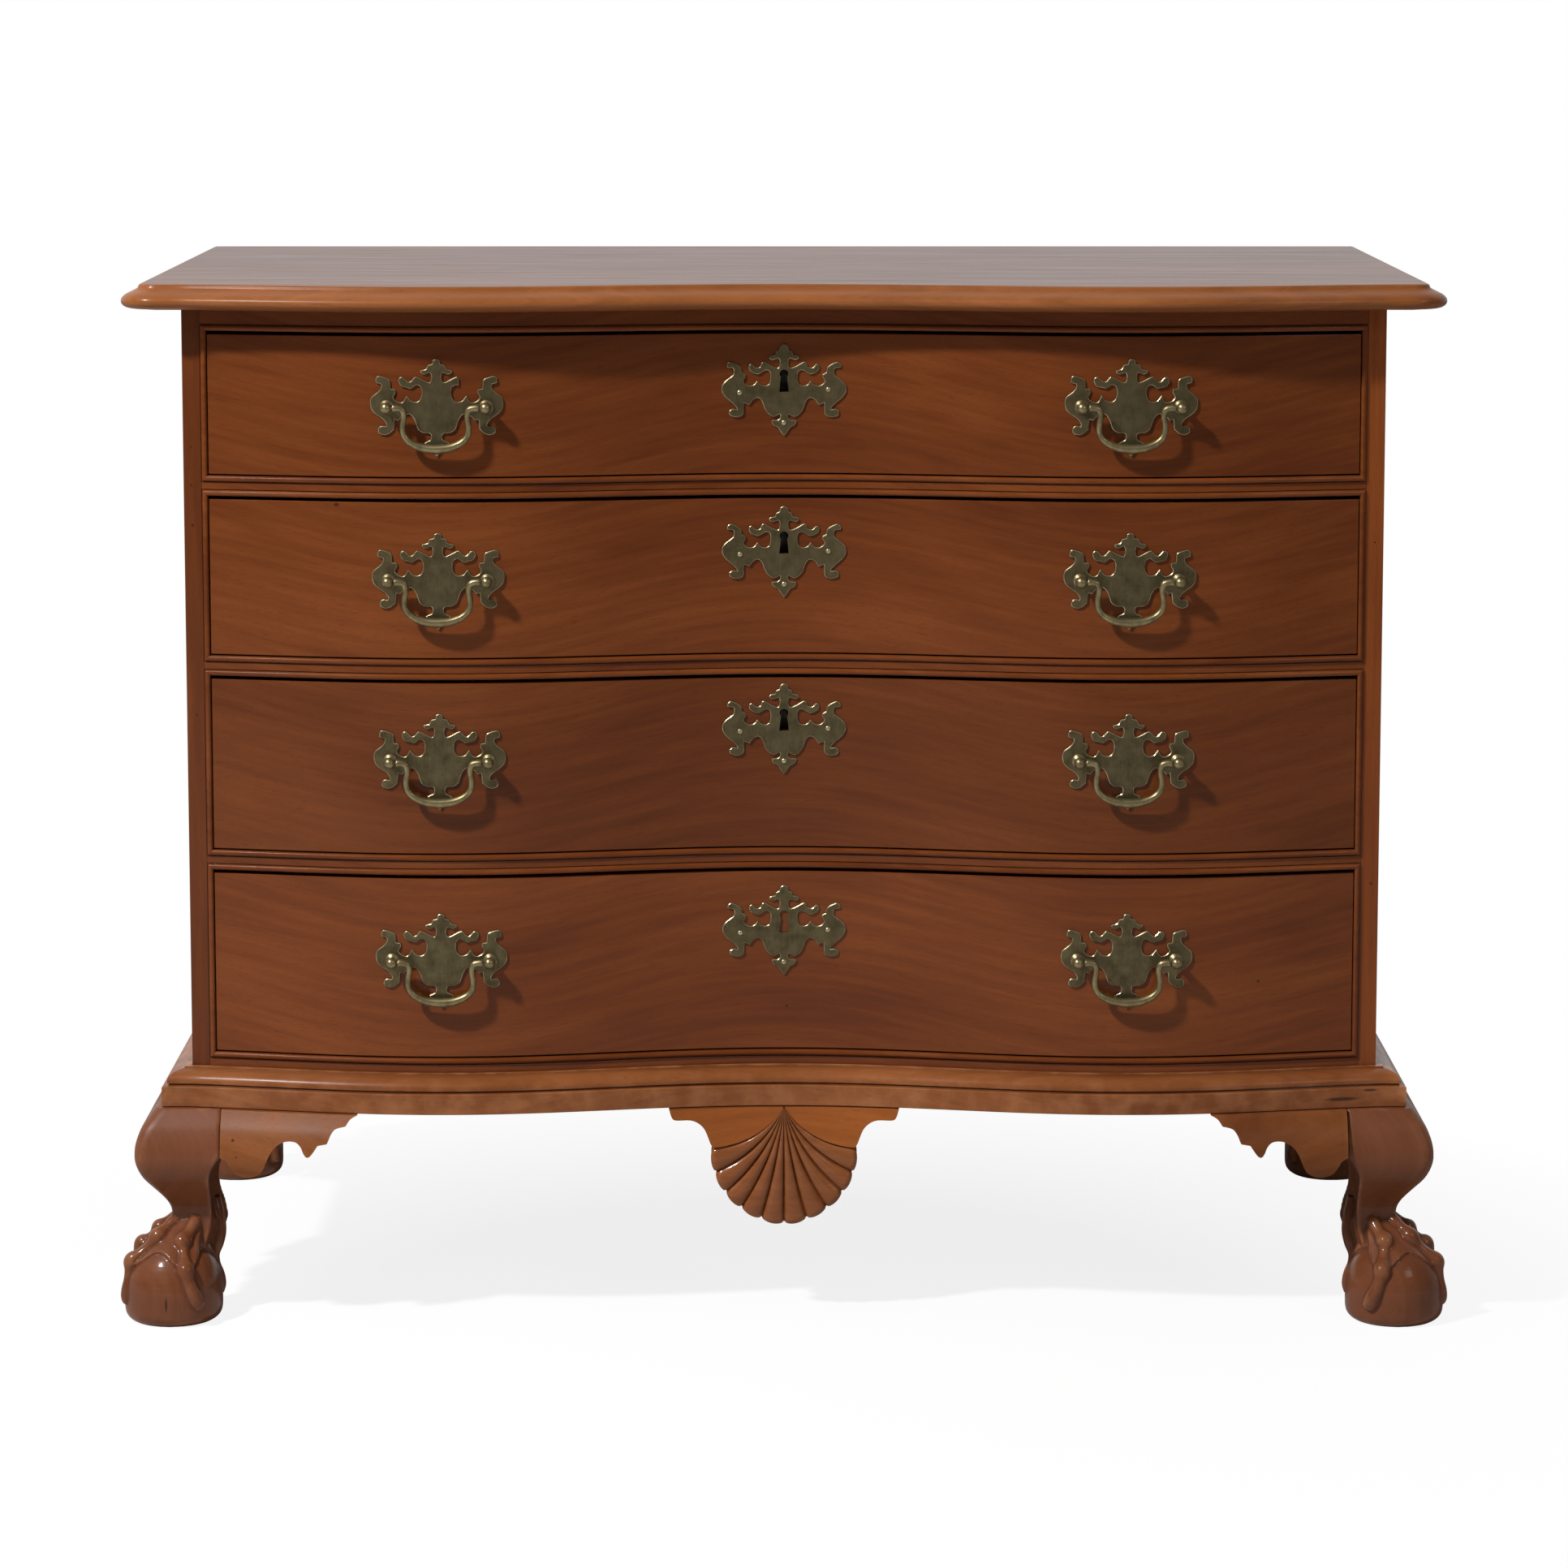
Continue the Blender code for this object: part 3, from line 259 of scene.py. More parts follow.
# The left half of an escutcheon from its tip down, in millimetres out from the middle and below the tip
ESCUTCHEON_HALF = (
    (0, 0), (2.8, 1.6), (3.6, 4.4), (6, 5.6), (6.8, 8), (10.3, 8.7), (11.5, 10.7), (8.7, 12.3), (4.4, 11),
    (3.2, 13.5), (4, 17.9), (6.4, 18.1), (10.3, 16.3), (15.1, 13.5), (17.1, 14.7), (18.3, 17.5), (21.9, 17.9),
    (24.6, 15.1), (26.6, 16.3), (26.6, 19.5), (23.9, 21.9), (19.9, 23.1), (16.7, 21.5), (13.5, 19.9),
    (10.7, 21.5), (10.3, 25.4), (11.5, 30.6), (15.1, 31.8), (18.3, 30.6), (20.3, 27.8), (22.3, 30.6),
    (25.4, 31.8), (28.6, 31), (31, 28.2), (29.4, 25.4), (29.4, 23.1), (32.2, 21.5), (32.6, 18.3), (35, 15.9),
    (38.2, 14.3), (41, 13.5), (43.3, 15.5), (42.9, 17.9), (39, 18.3), (38.2, 20.7), (39, 23.9), (43.3, 27),
    (46.9, 31), (47.3, 35.8), (44.5, 40.5), (39.8, 44.5), (36.6, 47.7), (35.8, 49.7), (39, 49.3),
    (41.7, 50.9), (41.3, 54.1), (37.4, 55.7), (33.4, 55.3), (30.6, 52.5), (30.6, 44.9), (26.6, 46.5),
    (23.9, 42.9), (19.9, 40.9), (16.7, 43.7), (15.1, 48.5), (12.7, 52.5), (8, 55.7), (3.6, 53.5), (2.9, 55.7),
    (4.8, 58), (9.5, 58.4), (8, 62), (4.8, 63.6), (2.4, 67.2), (0, 70),
)
ESCUTCHEON_THICKNESS = 0.0014
ESCUTCHEON_NAILS = ((-0.0336, -0.0370), (0.0338, -0.0346), (0.0, -0.0600))
NAIL_HEAD = 0.0021
NAIL_SHANK = ((0.0060, 0.0007), (0.0002, 0.0009), (0.0001, NAIL_HEAD))
NAIL_CROWN = 0.0012
NAIL_STEPS = 6
NAIL_SIDES = 14
KEYHOLE_DROP = 0.0228
KEYHOLE_HEAD = 0.0033
KEYHOLE_MEETING = -math.asin(0.64)
KEYHOLE_STEPS = 16
KEYHOLE_SKIRT = ((0.0024, 0.0028), (0.0037, 0.0138))
MILLIMETRE = 0.001

# Case: the back's rabbets and planks, and the gaps round a drawer
SIDES = (("left", -1), ("right", 1))
SIDE_EASE = 0.0012
RABBET = 0.010
BACK_PLANKS = 4
PLANK_GAP = 0.0004
PLANK_EASE = 0.0015
BLADES = (1, 2, 3)
GAP_BELOW = 0.0010
GAP_ABOVE = 0.0025

# Drawers
DRAWERS = (1, 2, 3, 4)
LOCKED = (1, 2, 3)
FRONT_THICKNESS = 0.022
FRONT_EASE = 0.0009
BOX_SIDE = 0.010
BOX_BACK = 0.010
BOX_BOTTOM = 0.007
BOX_RAISE = 0.005
BOX_EASE = 0.001
TAIL_LENGTH = 0.014
TAIL_PITCH = 0.030
TAIL_WIDE = 0.42
TAIL_SLIM = 0.33
TAIL_PROUD = 0.00012
CUT_PAST = 0.1

# Locks, and their screws as (proud of the lock's back, radius)
BOLT_TRAVEL = 0.008
BOLT_ROOM = 0.0010
LOCK_EASE = 0.0006
LOCK_BACK = 0.002
SCREW_INSET = 0.007
SCREW_ABOVE_FOOT = 0.008
SCREW_BELOW_HEAD = 0.010
SCREW_RINGS = ((-0.0010, 0.0036), (0.0002, 0.0036), (0.0007, 0.0026))
SCREW_SIDES = 16
SLIT_HALF_LENGTH = 0.005
SLIT_HALF_WIDTH = 0.0004
SLIT_FLOOR = 0.0002
SLIT_HEIGHT = 0.002

# Small marks of age, as (x, z, half width, half height) on the face that carries them
STILE_HOLES = {
    "left": ((-0.4511, 0.6750, 0.0009, 0.0009), (-0.4511, 0.6457, 0.0011, 0.0011),
             (-0.4505, 0.6151, 0.0014, 0.0014), (-0.4495, 0.4691, 0.0013, 0.0013)),
    "right": ((0.4505, 0.6020, 0.0010, 0.0010), (0.4512, 0.3380, 0.0012, 0.0012)),
}
BRACKET_HOLES = (
    (-0.4218, 0.1465, 0.0016, 0.0016), (-0.4190, 0.1340, 0.0010, 0.0010), (-0.3960, 0.1290, 0.0013, 0.0013),
)
FASCIA_STAIN = ((0.4285, 0.1746, 0.0160, 0.0018), (0.4503, 0.1808, 0.0068, 0.0012))
BALL_SLOT = ((-0.4739, 0.0190, 0.0012, 0.0070),)
FRONT_KNOTS = {
    2: ((-0.3390, 0.6332, 0.0024, 0.0018),),
    4: ((0.3640, 0.2650, 0.0014, 0.0014), (0.0020, 0.2410, 0.0012, 0.0012)),
}

# Finishes, as linear colours from dark to pale
FRONT_TONES = ((0.092, 0.0205, 0.0042), (0.134, 0.0325, 0.0062), (0.176, 0.0460, 0.0095))
FRONT_GAINS = {1: 0.94, 2: 0.97, 3: 0.85, 4: 1.04}
# The stiles' tones scaled as painted light: the right stile paler, as though lit more strongly, the left one
# darker
STILE_PAINTED_LIGHT_GAINS = {"left": 0.82, "right": 1.50}
BRACKET_GAIN = 0.86
WING_TONES = ((0.190, 0.0490, 0.0075), (0.262, 0.0700, 0.0105), (0.330, 0.0920, 0.0150))
PALE_TONES = ((0.140, 0.0400, 0.0110), (0.200, 0.0620, 0.0175), (0.265, 0.0880, 0.0270))
TOP_TONES = ((0.155, 0.0480, 0.0125), (0.228, 0.0740, 0.0200), (0.295, 0.1010, 0.0300))
TOP_FACE_TONES = ((0.080, 0.0280, 0.0150), (0.114, 0.0415, 0.0230), (0.150, 0.0580, 0.0330))
FOOT_TONES = ((0.114, 0.0340, 0.0125), (0.140, 0.0430, 0.0165), (0.168, 0.0530, 0.0210))
POPLAR_TONES = ((0.330, 0.185, 0.082), (0.440, 0.262, 0.122), (0.520, 0.335, 0.170))
# Dark mark colour: real dirt in nail holes, knots, stains and the ball's slot, and grime with painted shade
# in carved hollows
DIRT_AND_SHADE = (0.018, 0.007, 0.004, 1.0)
RUBBED = (0.42, 0.18, 0.075, 1.0)
BRASS_DARK = (0.075, 0.058, 0.026, 1.0)
BRASS_FACE = (0.140, 0.112, 0.055, 1.0)
BRASS_WARM = (0.300, 0.240, 0.120, 1.0)
BRASS_BRIGHT = (0.500, 0.430, 0.270, 1.0)
IRON_DARK = (0.045, 0.040, 0.036, 1.0)
IRON_PALE = (0.140, 0.120, 0.100, 1.0)
WHITE = (1.0, 1.0, 1.0, 1.0)
# The haze of the feet's polish at the claws and at the knee, as (height, haze)
CLAW_HAZE = (0.080, 0.14)
KNEE_HAZE = (0.140, 0.46)
# How the grain runs, how the growth layers lean, and the step along the log from board to board
GRAIN_TURNS = {"X": (0, 0, 0), "Y": (0, 0, -math.pi / 2), "Z": (0, math.pi / 2, 0)}
LAYER_TILT = math.radians(-50)
GRAIN_STEP = 0.37

# Floor: its plain paleness, and how it is seen near the chest and further off
FLOOR_PALE = 0.66
FLOOR_SHADED = 0.15
FLOOR_GLOW = 0.845
FLOOR_MIDDLE = (0.0, -0.20, 0.0)
FLOOR_FADE = (0.34, 0.85)
FLOOR_SIZE = 12

# Light: the fill from all sides, where the white backdrop shows in polish, and lamps as (place, size, power)
FILL = 0.16
BACKDROP = (-0.1, 0.5)
LAMP_AIM = (0, -0.2, 0.45)
KEY_LAMP = ((-2.4, -2.25, 3.60), 0.28, 236)
SIDE_LAMP = ((2.2, -2.6, 2.2), 0.9, 12)

# Camera, fitted to the photograph's frame of 1932 by 1932
CAMERA_PLACE = (0.0, -4.080, 1.037)
CAMERA_PITCH = math.radians(90 - 7.42)
CAMERA_LENS = 116.84
CAMERA_SENSOR = 36.0
CAMERA_SHIFT = -0.0985


# Shapes along the front
def front_y(x):
    """The smooth front surface."""
    reach = min(abs(x), CASE_HALF)
    return CENTRE_Y - WAVE_DEPTH * (1 - math.cos(math.pi * reach / LOBE_X)) / 2


def stations():
    """Shares of the half width, from -1 to 1, at which a swelled piece is cut."""
    return [2 * k / WAVE_STEPS - 1 for k in range(WAVE_STEPS + 1)]


def on_front(marks, proud=0.0):
    """Marks given as (x, z, half width, half height), set on a surface that follows the front."""
    return [(x, front_y(x) - proud, z, wide, tall) for x, z, wide, tall in marks]


def smooth_row(points, steps, closed=False):
    """A finer row of points on a smooth curve through the given ones."""
    given = [Vector(point) for point in points]
    count = len(given)
    row = []
    for k in range(count if closed else count - 1):
        around = [k - 1, k, k + 1, k + 2]
        if closed:
            a, b, c, d = (given[n % count] for n in around)
        else:
            a, b, c, d = (given[min(max(n, 0), count - 1)] for n in around)
        for step in range(steps):
            t = step / steps
            bend = (c - a) * t + (2 * a - 5 * b + 4 * c - d) * t ** 2 + (3 * b - a - 3 * c + d) * t ** 3
            row.append(b + bend / 2)
    if not closed:
        row.append(given[-1])
    return row


# Modelling by operators
def deselect():
    bpy.ops.object.select_all(action="DESELECT")


def edit(piece):
    deselect()
    piece.select_set(True)
    bpy.context.view_layer.objects.active = piece
    bpy.ops.object.mode_set(mode="EDIT")


def leave_edit():
    bpy.ops.object.mode_set(mode="OBJECT")


def pick_edges(piece, wanted):
    """In edit mode, select the edges that pass a test."""
    bpy.context.tool_settings.mesh_select_mode = (False, True, False)
    bpy.ops.mesh.select_all(action="DESELECT")
    shape = bmesh.from_edit_mesh(piece.data)
    for edge in shape.edges:
        edge.select_set(wanted(edge))
    bmesh.update_edit_mesh(piece.data)


def recalculate(piece):
    edit(piece)
    bpy.ops.mesh.select_all(action="SELECT")
    bpy.ops.mesh.normals_make_consistent(inside=False)
    leave_edit()


def loft(name, loops):
    """A many-sided face drawn out once, cut across, and each cut set to the next of a row of loops."""
    deselect()
    bpy.ops.mesh.primitive_circle_add(vertices=len(loops[0]), fill_type="NGON")
    piece = bpy.context.object
    piece.name = name
    spots = {(round(v.co.x, 4), round(v.co.y, 4)): v.index for v in piece.data.vertices}
    edit(piece)
    bpy.ops.mesh.select_all(action="SELECT")
    bpy.ops.mesh.extrude_region_move(TRANSFORM_OT_translate={"value": (0, 0, 1)})
    if len(loops) > 2:
        pick_edges(piece, lambda edge: abs(edge.verts[0].co.z - edge.verts[1].co.z) > 0.5)
        bpy.ops.mesh.subdivide(number_cuts=len(loops) - 2)
    leave_edit()
    for vert in piece.data.vertices:
        spot = spots[(round(vert.co.x, 4), round(vert.co.y, 4))]
        vert.co = loops[round(vert.co.z * (len(loops) - 1))][spot]
    recalculate(piece)
    return piece


def board(name, low, high, ease=0.0008):
    """A squared board with its arrises eased."""
    deselect()
    low = Vector(low)
    high = Vector(high)
    bpy.ops.mesh.primitive_cube_add(size=1, location=(low + high) / 2, scale=high - low)
    piece = bpy.context.object
    piece.name = name
    bpy.ops.object.transform_apply(location=True, rotation=True, scale=True)
    edit(piece)
    bpy.ops.mesh.select_all(action="SELECT")
    bpy.ops.mesh.bevel(offset=ease, segments=2, affect="EDGES")
    leave_edit()
    return piece


def prism(name, outline, y0, y1):
    """An outline in X and Z drawn out along Y."""
    return loft(name, [[(x, y, z) for x, z in outline] for y in (y0, y1)])


def full_turn(sides):
    """Angles all the way round, one for each side."""
    return [2 * math.pi * n / sides for n in range(sides)]


def tube(name, path, radii, outward, sides):
    """A round rod along a path, its rings set by an outward direction at each point."""
    turns = full_turn(sides)
    loops = []
    for k, (point, radius) in enumerate(zip(path, radii)):
        along = (path[min(k + 1, len(path) - 1)] - path[max(k - 1, 0)]).normalized()
        away = outward(point)
        normal = (away - along * away.dot(along)).normalized()
        across = along.cross(normal)
        loops.append([point + radius * (math.cos(t) * normal + math.sin(t) * across) for t in turns])
    return loft(name, loops)


def turned(name, rings, x, z, sides):
    """A piece turned about a line along Y through x and z, from rings of (y, radius)."""
    turns = full_turn(sides)
    loops = []
    for y, radius in rings:
        loops.append([(x + radius * math.cos(t), y, z + radius * math.sin(t)) for t in turns])
    return loft(name, loops)


def cut(piece, cutter, operation="DIFFERENCE"):
    change = piece.modifiers.new("cut", "BOOLEAN")
    change.operation = operation
    change.solver = "EXACT"
    change.object = cutter
    bpy.context.view_layer.objects.active = piece
    bpy.ops.object.modifier_apply(modifier=change.name)
    bpy.data.objects.remove(cutter, do_unlink=True)


def join(name, pieces):
    deselect()
    for piece in pieces:
        piece.select_set(True)
    bpy.context.view_layer.objects.active = pieces[0]
    if len(pieces) > 1:
        bpy.ops.object.join()
    pieces[0].name = name
    return pieces[0]


def copy(piece, name, change):
    """A copy with its own mesh, moved or mirrored."""
    fresh = piece.copy()
    fresh.data = piece.data.copy()
    fresh.name = name
    bpy.context.scene.collection.objects.link(fresh)
    fresh.data.transform(change)
    if change.determinant() < 0:
        recalculate(fresh)
    return fresh


def mark_wear_and_shade(piece, gain, rounds=2):
    """Store on each point how hollow and how exposed it is, from the lie of its neighbours: the hollow value
    later darkens the colour as grime and painted shade, the exposed one pales it as wear.
    """
    mesh = piece.data
    count = len(mesh.vertices)
    places = np.empty(count * 3)
    mesh.vertices.foreach_get("co", places)
    places = places.reshape(-1, 3)
    normals = np.empty(count * 3)
    mesh.vertex_normals.foreach_get("vector", normals)
    normals = normals.reshape(-1, 3)
    ends = np.empty(len(mesh.edges) * 2, dtype=np.int32)
    mesh.edges.foreach_get("vertices", ends)
    one, two = ends.reshape(-1, 2).T
    run = places[two] - places[one]
    run /= np.maximum(np.linalg.norm(run, axis=1), 1e-9)[:, None]
    lean = np.zeros(count)
    links = np.zeros(count)
    np.add.at(lean, one, (run * normals[one]).sum(axis=1))
    np.add.at(lean, two, -(run * normals[two]).sum(axis=1))
    np.add.at(links, one, 1)
    np.add.at(links, two, 1)
    links = np.maximum(links, 1)
    lean /= links
    for _ in range(rounds):
        total = lean.copy()
        np.add.at(total, one, lean[two])
        np.add.at(total, two, lean[one])
        lean = total / (links + 1)
    for name, values in (("hollow", lean), ("rubbed", -lean)):
        layer = mesh.attributes.new(name, "FLOAT", "POINT")
        layer.data.foreach_set("value", np.clip(values * gain, 0, 1).astype(np.float32))


def finish(piece, body, look, nodes=(), angle=32):
    """Shade a piece, give it its look, and tie it to its body and to the nodes that it stands for."""
    deselect()
    piece.select_set(True)
    bpy.context.view_layer.objects.active = piece
    bpy.ops.object.shade_smooth_by_angle(angle=math.radians(angle))
    flatten = piece.modifiers.new("flatten", "WEIGHTED_NORMAL")
    flatten.keep_sharp = True
    bpy.ops.object.modifier_apply(modifier=flatten.name)
    if not piece.data.materials:
        piece.data.materials.append(look)
    piece.data.name = piece.name
    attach(piece, body)
    if nodes:
        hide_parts(*nodes)


# Materials
class Look:
    """The nodes of a material or of the world, with short ways to add and link them."""

    def __init__(self, owner):
        owner.use_nodes = True
        self.owner = owner
        self.nodes = owner.node_tree.nodes
        self.links = owner.node_tree.links
        self.shader = self.nodes.get("Principled BSDF")
        self.place = self.node("ShaderNodeTexCoord").outputs["Object"]

    def link(self, source, target):
        """Feed an input from another node's output, or set it to a plain value."""
        if isinstance(source, (tuple, float)):
            target.default_value = source
        else:
            self.links.new(source, target)

    def node(self, kind, *sources, operation=None, **named):
        """A new node, its inputs fed in order or by name."""
        node = self.nodes.new(kind)
        if operation:
            node.operation = operation
        for source, target in zip(sources, node.inputs):
            self.link(source, target)
        for name, source in named.items():
            self.link(source, node.inputs[name.replace("_", " ")])
        return node

    def mapped(self, source, scale=(1, 1, 1), turn=(0, 0, 0), shift=(0, 0, 0)):
        mapping = self.node("ShaderNodeMapping", Vector=source, Scale=scale, Rotation=turn, Location=shift)
        return mapping.outputs["Vector"]

    def noise(self, source, scale, detail=3.0, rough=0.55):
        texture = self.node("ShaderNodeTexNoise", Vector=source, Scale=scale, Detail=detail, Roughness=rough)
        return texture.outputs["Fac"]

    def spread(self, source, low, high, new_low=0.0, new_high=1.0):
        """A value carried from one range to another."""
        ranged = self.node(
            "ShaderNodeMapRange", Value=source, From_Min=low, From_Max=high, To_Min=new_low, To_Max=new_high)
        return ranged.outputs["Result"]

    def maths(self, operation, *sources):
        return self.node("ShaderNodeMath", *sources, operation=operation).outputs[0]

    def sum(self, first, second, share):
        """first + second * share"""
        return self.maths("MULTIPLY_ADD", second, share, first)

    def times(self, first, second):
        return self.maths("MULTIPLY", first, second)

    def ramp(self, source, stops):
        colours = self.node("ShaderNodeValToRGB", Fac=source)
        elements = colours.color_ramp.elements
        while len(elements) < len(stops):
            elements.new(0.5)
        for element, (position, colour) in zip(elements, stops):
            element.position = position
            element.color = colour
        return colours.outputs["Color"]

    def mix(self, share, first, second):
        """From the first colour to the second by a share."""
        blend = self.node("ShaderNodeMix")
        blend.data_type = "RGBA"
        for number, source in ((0, share), (6, first), (7, second)):
            self.link(source, blend.inputs[number])
        return blend.outputs[2]

    def stored(self, name):
        attribute = self.node("ShaderNodeAttribute")
        attribute.attribute_name = name
        return attribute.outputs["Fac"]

    def bump(self, height, strength, distance):
        bump = self.node("ShaderNodeBump", Height=height, Strength=strength, Distance=distance)
        self.link(bump.outputs["Normal"], self.shader.inputs["Normal"])


def toned(tones, gain):
    return tuple(tuple(value * gain for value in tone) for tone in tones)


def wood(name, tones, grain, shift, gloss=0.30, worn_and_shaded=False, spots=()):
    """Sawn wood: slanting growth layers, streaks and pores, with grime and painted shade in the hollows of
    carved pieces and pale wear on their edges.
    """
    look = Look(bpy.data.materials.new(name))
    straight = look.mapped(look.place, turn=GRAIN_TURNS[grain], shift=shift)
    drift = look.noise(look.mapped(straight, scale=(2.4, 0.8, 0.8)), 1.0, 1.0)
    sway = look.node("ShaderNodeVectorMath", drift, (0, 0.06, 0.06), straight, operation="MULTIPLY_ADD")
    lay = look.mapped(sway.outputs["Vector"], turn=(LAYER_TILT, 0, 0))
    streaks = look.noise(look.mapped(lay, scale=(1, 3, 30)), 8.0, 5.0, 0.6)
    fine = look.noise(look.mapped(lay, scale=(1, 6, 14)), 90.0, 2.0)
    broad = look.noise(look.mapped(lay, scale=(0.6, 1.0, 3.2)), 5.0, 3.0)
    figure = look.sum(look.times(streaks, 0.42), broad, 0.58)
    dark, middle, pale = ((*tone, 1.0) for tone in tones)
    colour = look.ramp(figure, ((0.34, dark), (0.50, middle), (0.66, pale)))
    pores = look.spread(fine, 0.56, 0.72)
    colour = look.mix(look.times(pores, 0.4), colour, dark)
    if worn_and_shaded:
        patchy = look.spread(look.noise(look.place, 55.0, 4.0), 0.42, 0.66)
        # Hollows darkened: partly grime, partly painted shade in creases, grooves and undercuts
        colour = look.mix(look.stored("hollow"), colour, DIRT_AND_SHADE)
        colour = look.mix(look.times(look.stored("rubbed"), patchy), colour, RUBBED)
    for x, y, z, wide, tall in spots:
        centred = look.mapped(
            look.place, scale=(1 / wide, 1 / wide, 1 / tall), shift=(-x / wide, -y / wide, -z / tall))
        away = look.node("ShaderNodeVectorMath", centred, operation="LENGTH")
        colour = look.mix(look.spread(away.outputs["Value"], 1.0, 0.5, 0.0, 0.8), colour, DIRT_AND_SHADE)
    look.link(colour, look.shader.inputs["Base Color"])
    look.link(look.spread(streaks, 0.3, 0.7, gloss, gloss + 0.16), look.shader.inputs["Roughness"])
    look.bump(look.sum(look.times(streaks, 0.5), pores, -1.0), 0.20, 0.0002)
    return look.owner


def polished(name, tones, grain, shift, gloss=0.30, worn_and_shaded=False, spots=(), film=0.20, haze=0.11):
    """Mahogany under a film of old polish, clear or hazed by wear."""
    material = wood(name, tones, grain, shift, gloss, worn_and_shaded, spots)
    shader = material.node_tree.nodes["Principled BSDF"]
    shader.inputs["Specular IOR Level"].default_value = 0.08
    shader.inputs["Coat Weight"].default_value = film
    shader.inputs["Coat Roughness"].default_value = haze
    return material


def haze_upward(material, low, high):
    """Let the polish grow hazier from one height to another, each given as (height, haze)."""
    look = Look(material)
    height = look.node("ShaderNodeSeparateXYZ", look.place).outputs["Z"]
    haze = look.spread(height, low[0], high[0], low[1], high[1])
    look.link(haze, look.shader.inputs["Coat Roughness"])


def metal(name, dark, pale, rough, scale):
    """Old metal, with tarnish in clouds and fine scratches."""
    look = Look(bpy.data.materials.new(name))
    clouds = look.noise(look.place, scale, 5.0, 0.6)
    scratches = look.noise(look.mapped(look.place, scale=(900, 900, 90)), 1.0, 2.0)
    tone = look.sum(look.times(clouds, 0.8), scratches, 0.2)
    look.link(look.ramp(tone, ((0.36, dark), (0.62, pale))), look.shader.inputs["Base Color"])
    look.link(look.spread(tone, 0.3, 0.7, rough + 0.12, rough - 0.05), look.shader.inputs["Roughness"])
    look.bump(look.sum(clouds, scratches, 0.4), 0.12, 0.0001)
    look.link(0.85, look.shader.inputs["Metallic"])
    return look.owner


BRASS_AGED = metal("aged_brass", BRASS_DARK, BRASS_FACE, 0.38, 90.0)
BRASS_HANDLED = metal("handled_brass", BRASS_FACE, BRASS_WARM, 0.34, 120.0)
BRASS_RUBBED = metal("rubbed_brass", BRASS_WARM, BRASS_BRIGHT, 0.28, 160.0)
IRON = metal("lock_iron", IRON_DARK, IRON_PALE, 0.50, 120.0)


def board_shift(number, depth=-0.20, lift=0.10):
    """Where a board's pith lies, different for each board."""
    return (number * GRAIN_STEP, depth - 0.05 * math.sin(number * 2.1), lift + 0.08 * math.sin(number * 1.3))


# The case
def top_outline(inset):
    """The top's plan drawn in by an inset: the swelled front, two rounded corners and a square back."""
    overhang = LOBE_Y - TOP_LOW.y
    straight = TOP_HALF - TOP_CORNER
    turn_y = front_y(straight) - overhang + TOP_CORNER
    corner = []
    for k in range(TOP_CORNER_STEPS):
        turn = math.pi / 2 * k / TOP_CORNER_STEPS
        reach = TOP_CORNER - inset
        corner.append((straight + reach * math.cos(turn), turn_y - reach * math.sin(turn)))
    front = [(share * straight, front_y(share * straight) - overhang + inset) for share in stations()]
    outline = [(-x, y) for x, y in corner] + front + corner[::-1]
    return outline + [(TOP_HALF - inset, TOP_HIGH.y), (inset - TOP_HALF, TOP_HIGH.y)]


def make_top():
    loops = []
    for inset, share in smooth_row(TOP_EDGE, 3):
        z = TOP_LOW.z + share * TOP_THICKNESS
        loops.append([(x, y, z) for x, y in top_outline(inset)])
    piece = loft("moulded_top", loops)
    edge_look = polished("top_edge_mahogany", TOP_TONES, "X", board_shift(1, 0.1, -0.9), haze=0.20)
    face_look = polished("top_face_mahogany", TOP_FACE_TONES, "X", board_shift(2, 0.1, -0.9), film=0.12)
    piece.data.materials.append(edge_look)
    piece.data.materials.append(face_look)
    for face in piece.data.polygons:
        face.material_index = int(face.normal.z > 0.98)
    finish(piece, "case", None, ["top"], 40)


def swelled(name, section, half, back_y):
    """A board whose (forward, height) section follows the front, with a straight back."""
    loops = []
    for share in stations():
        x = share * half
        loop = [(x, front_y(x) - forward, z) for forward, z in section]
        loops.append(loop + [(x, back_y, section[-1][1]), (x, back_y, section[0][1])])
    return loft(name, loops)


def make_sides():
    inner = OPENING_HALF
    step = inner + BEAD_ROOM
    sunk = front_y(inner) + BEAD_SUNK
    rabbet = inner + RABBET
    face = front_y(CASE_HALF)
    slope = SIDE_EASE / 4
    plan = (
        (inner, BACK_FACE_Y), (inner, sunk), (step, sunk), (step, front_y(step)),
        (CASE_HALF - SIDE_EASE, face), (CASE_HALF - slope, face + slope), (CASE_HALF, face + SIDE_EASE),
        (CASE_HALF, CASE_BACK_Y), (rabbet, CASE_BACK_Y), (rabbet, BACK_FACE_Y),
    )
    for side, sign in SIDES:
        loops = [[(sign * x, y, z) for x, y in plan] for z in (CASE_BOTTOM, CASE_TOP)]
        piece = loft(f"case_side_{side}", loops)
        # Each stile's tones carry painted light: the right stile brightened, the left darkened
        tones = toned(FRONT_TONES, STILE_PAINTED_LIGHT_GAINS[side])
        holes = on_front(STILE_HOLES[side])
        look = polished(f"side_painted_light_mahogany_{side}", tones, "Z", board_shift(3 + sign), spots=holes)
        finish(piece, "case", look, [f"side_{side}"])


def opening(number):
    """The foot and head of a drawer's opening."""
    low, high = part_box(f"drawer_{number}_front")
    return low.z - GAP_BELOW, high.z + GAP_ABOVE


def cut_mortise(rail, number):
    """The mortise in a rail that takes the bolt of the drawer below it."""
    low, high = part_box(f"lock_bolt_{number}")
    room = Vector((BOLT_ROOM, BOLT_ROOM, 0))
    reach = Vector((0, 0, BOLT_TRAVEL + BOLT_ROOM))
    cut(rail, board("mortise", low - room, high + room + reach, ease=0.0002))


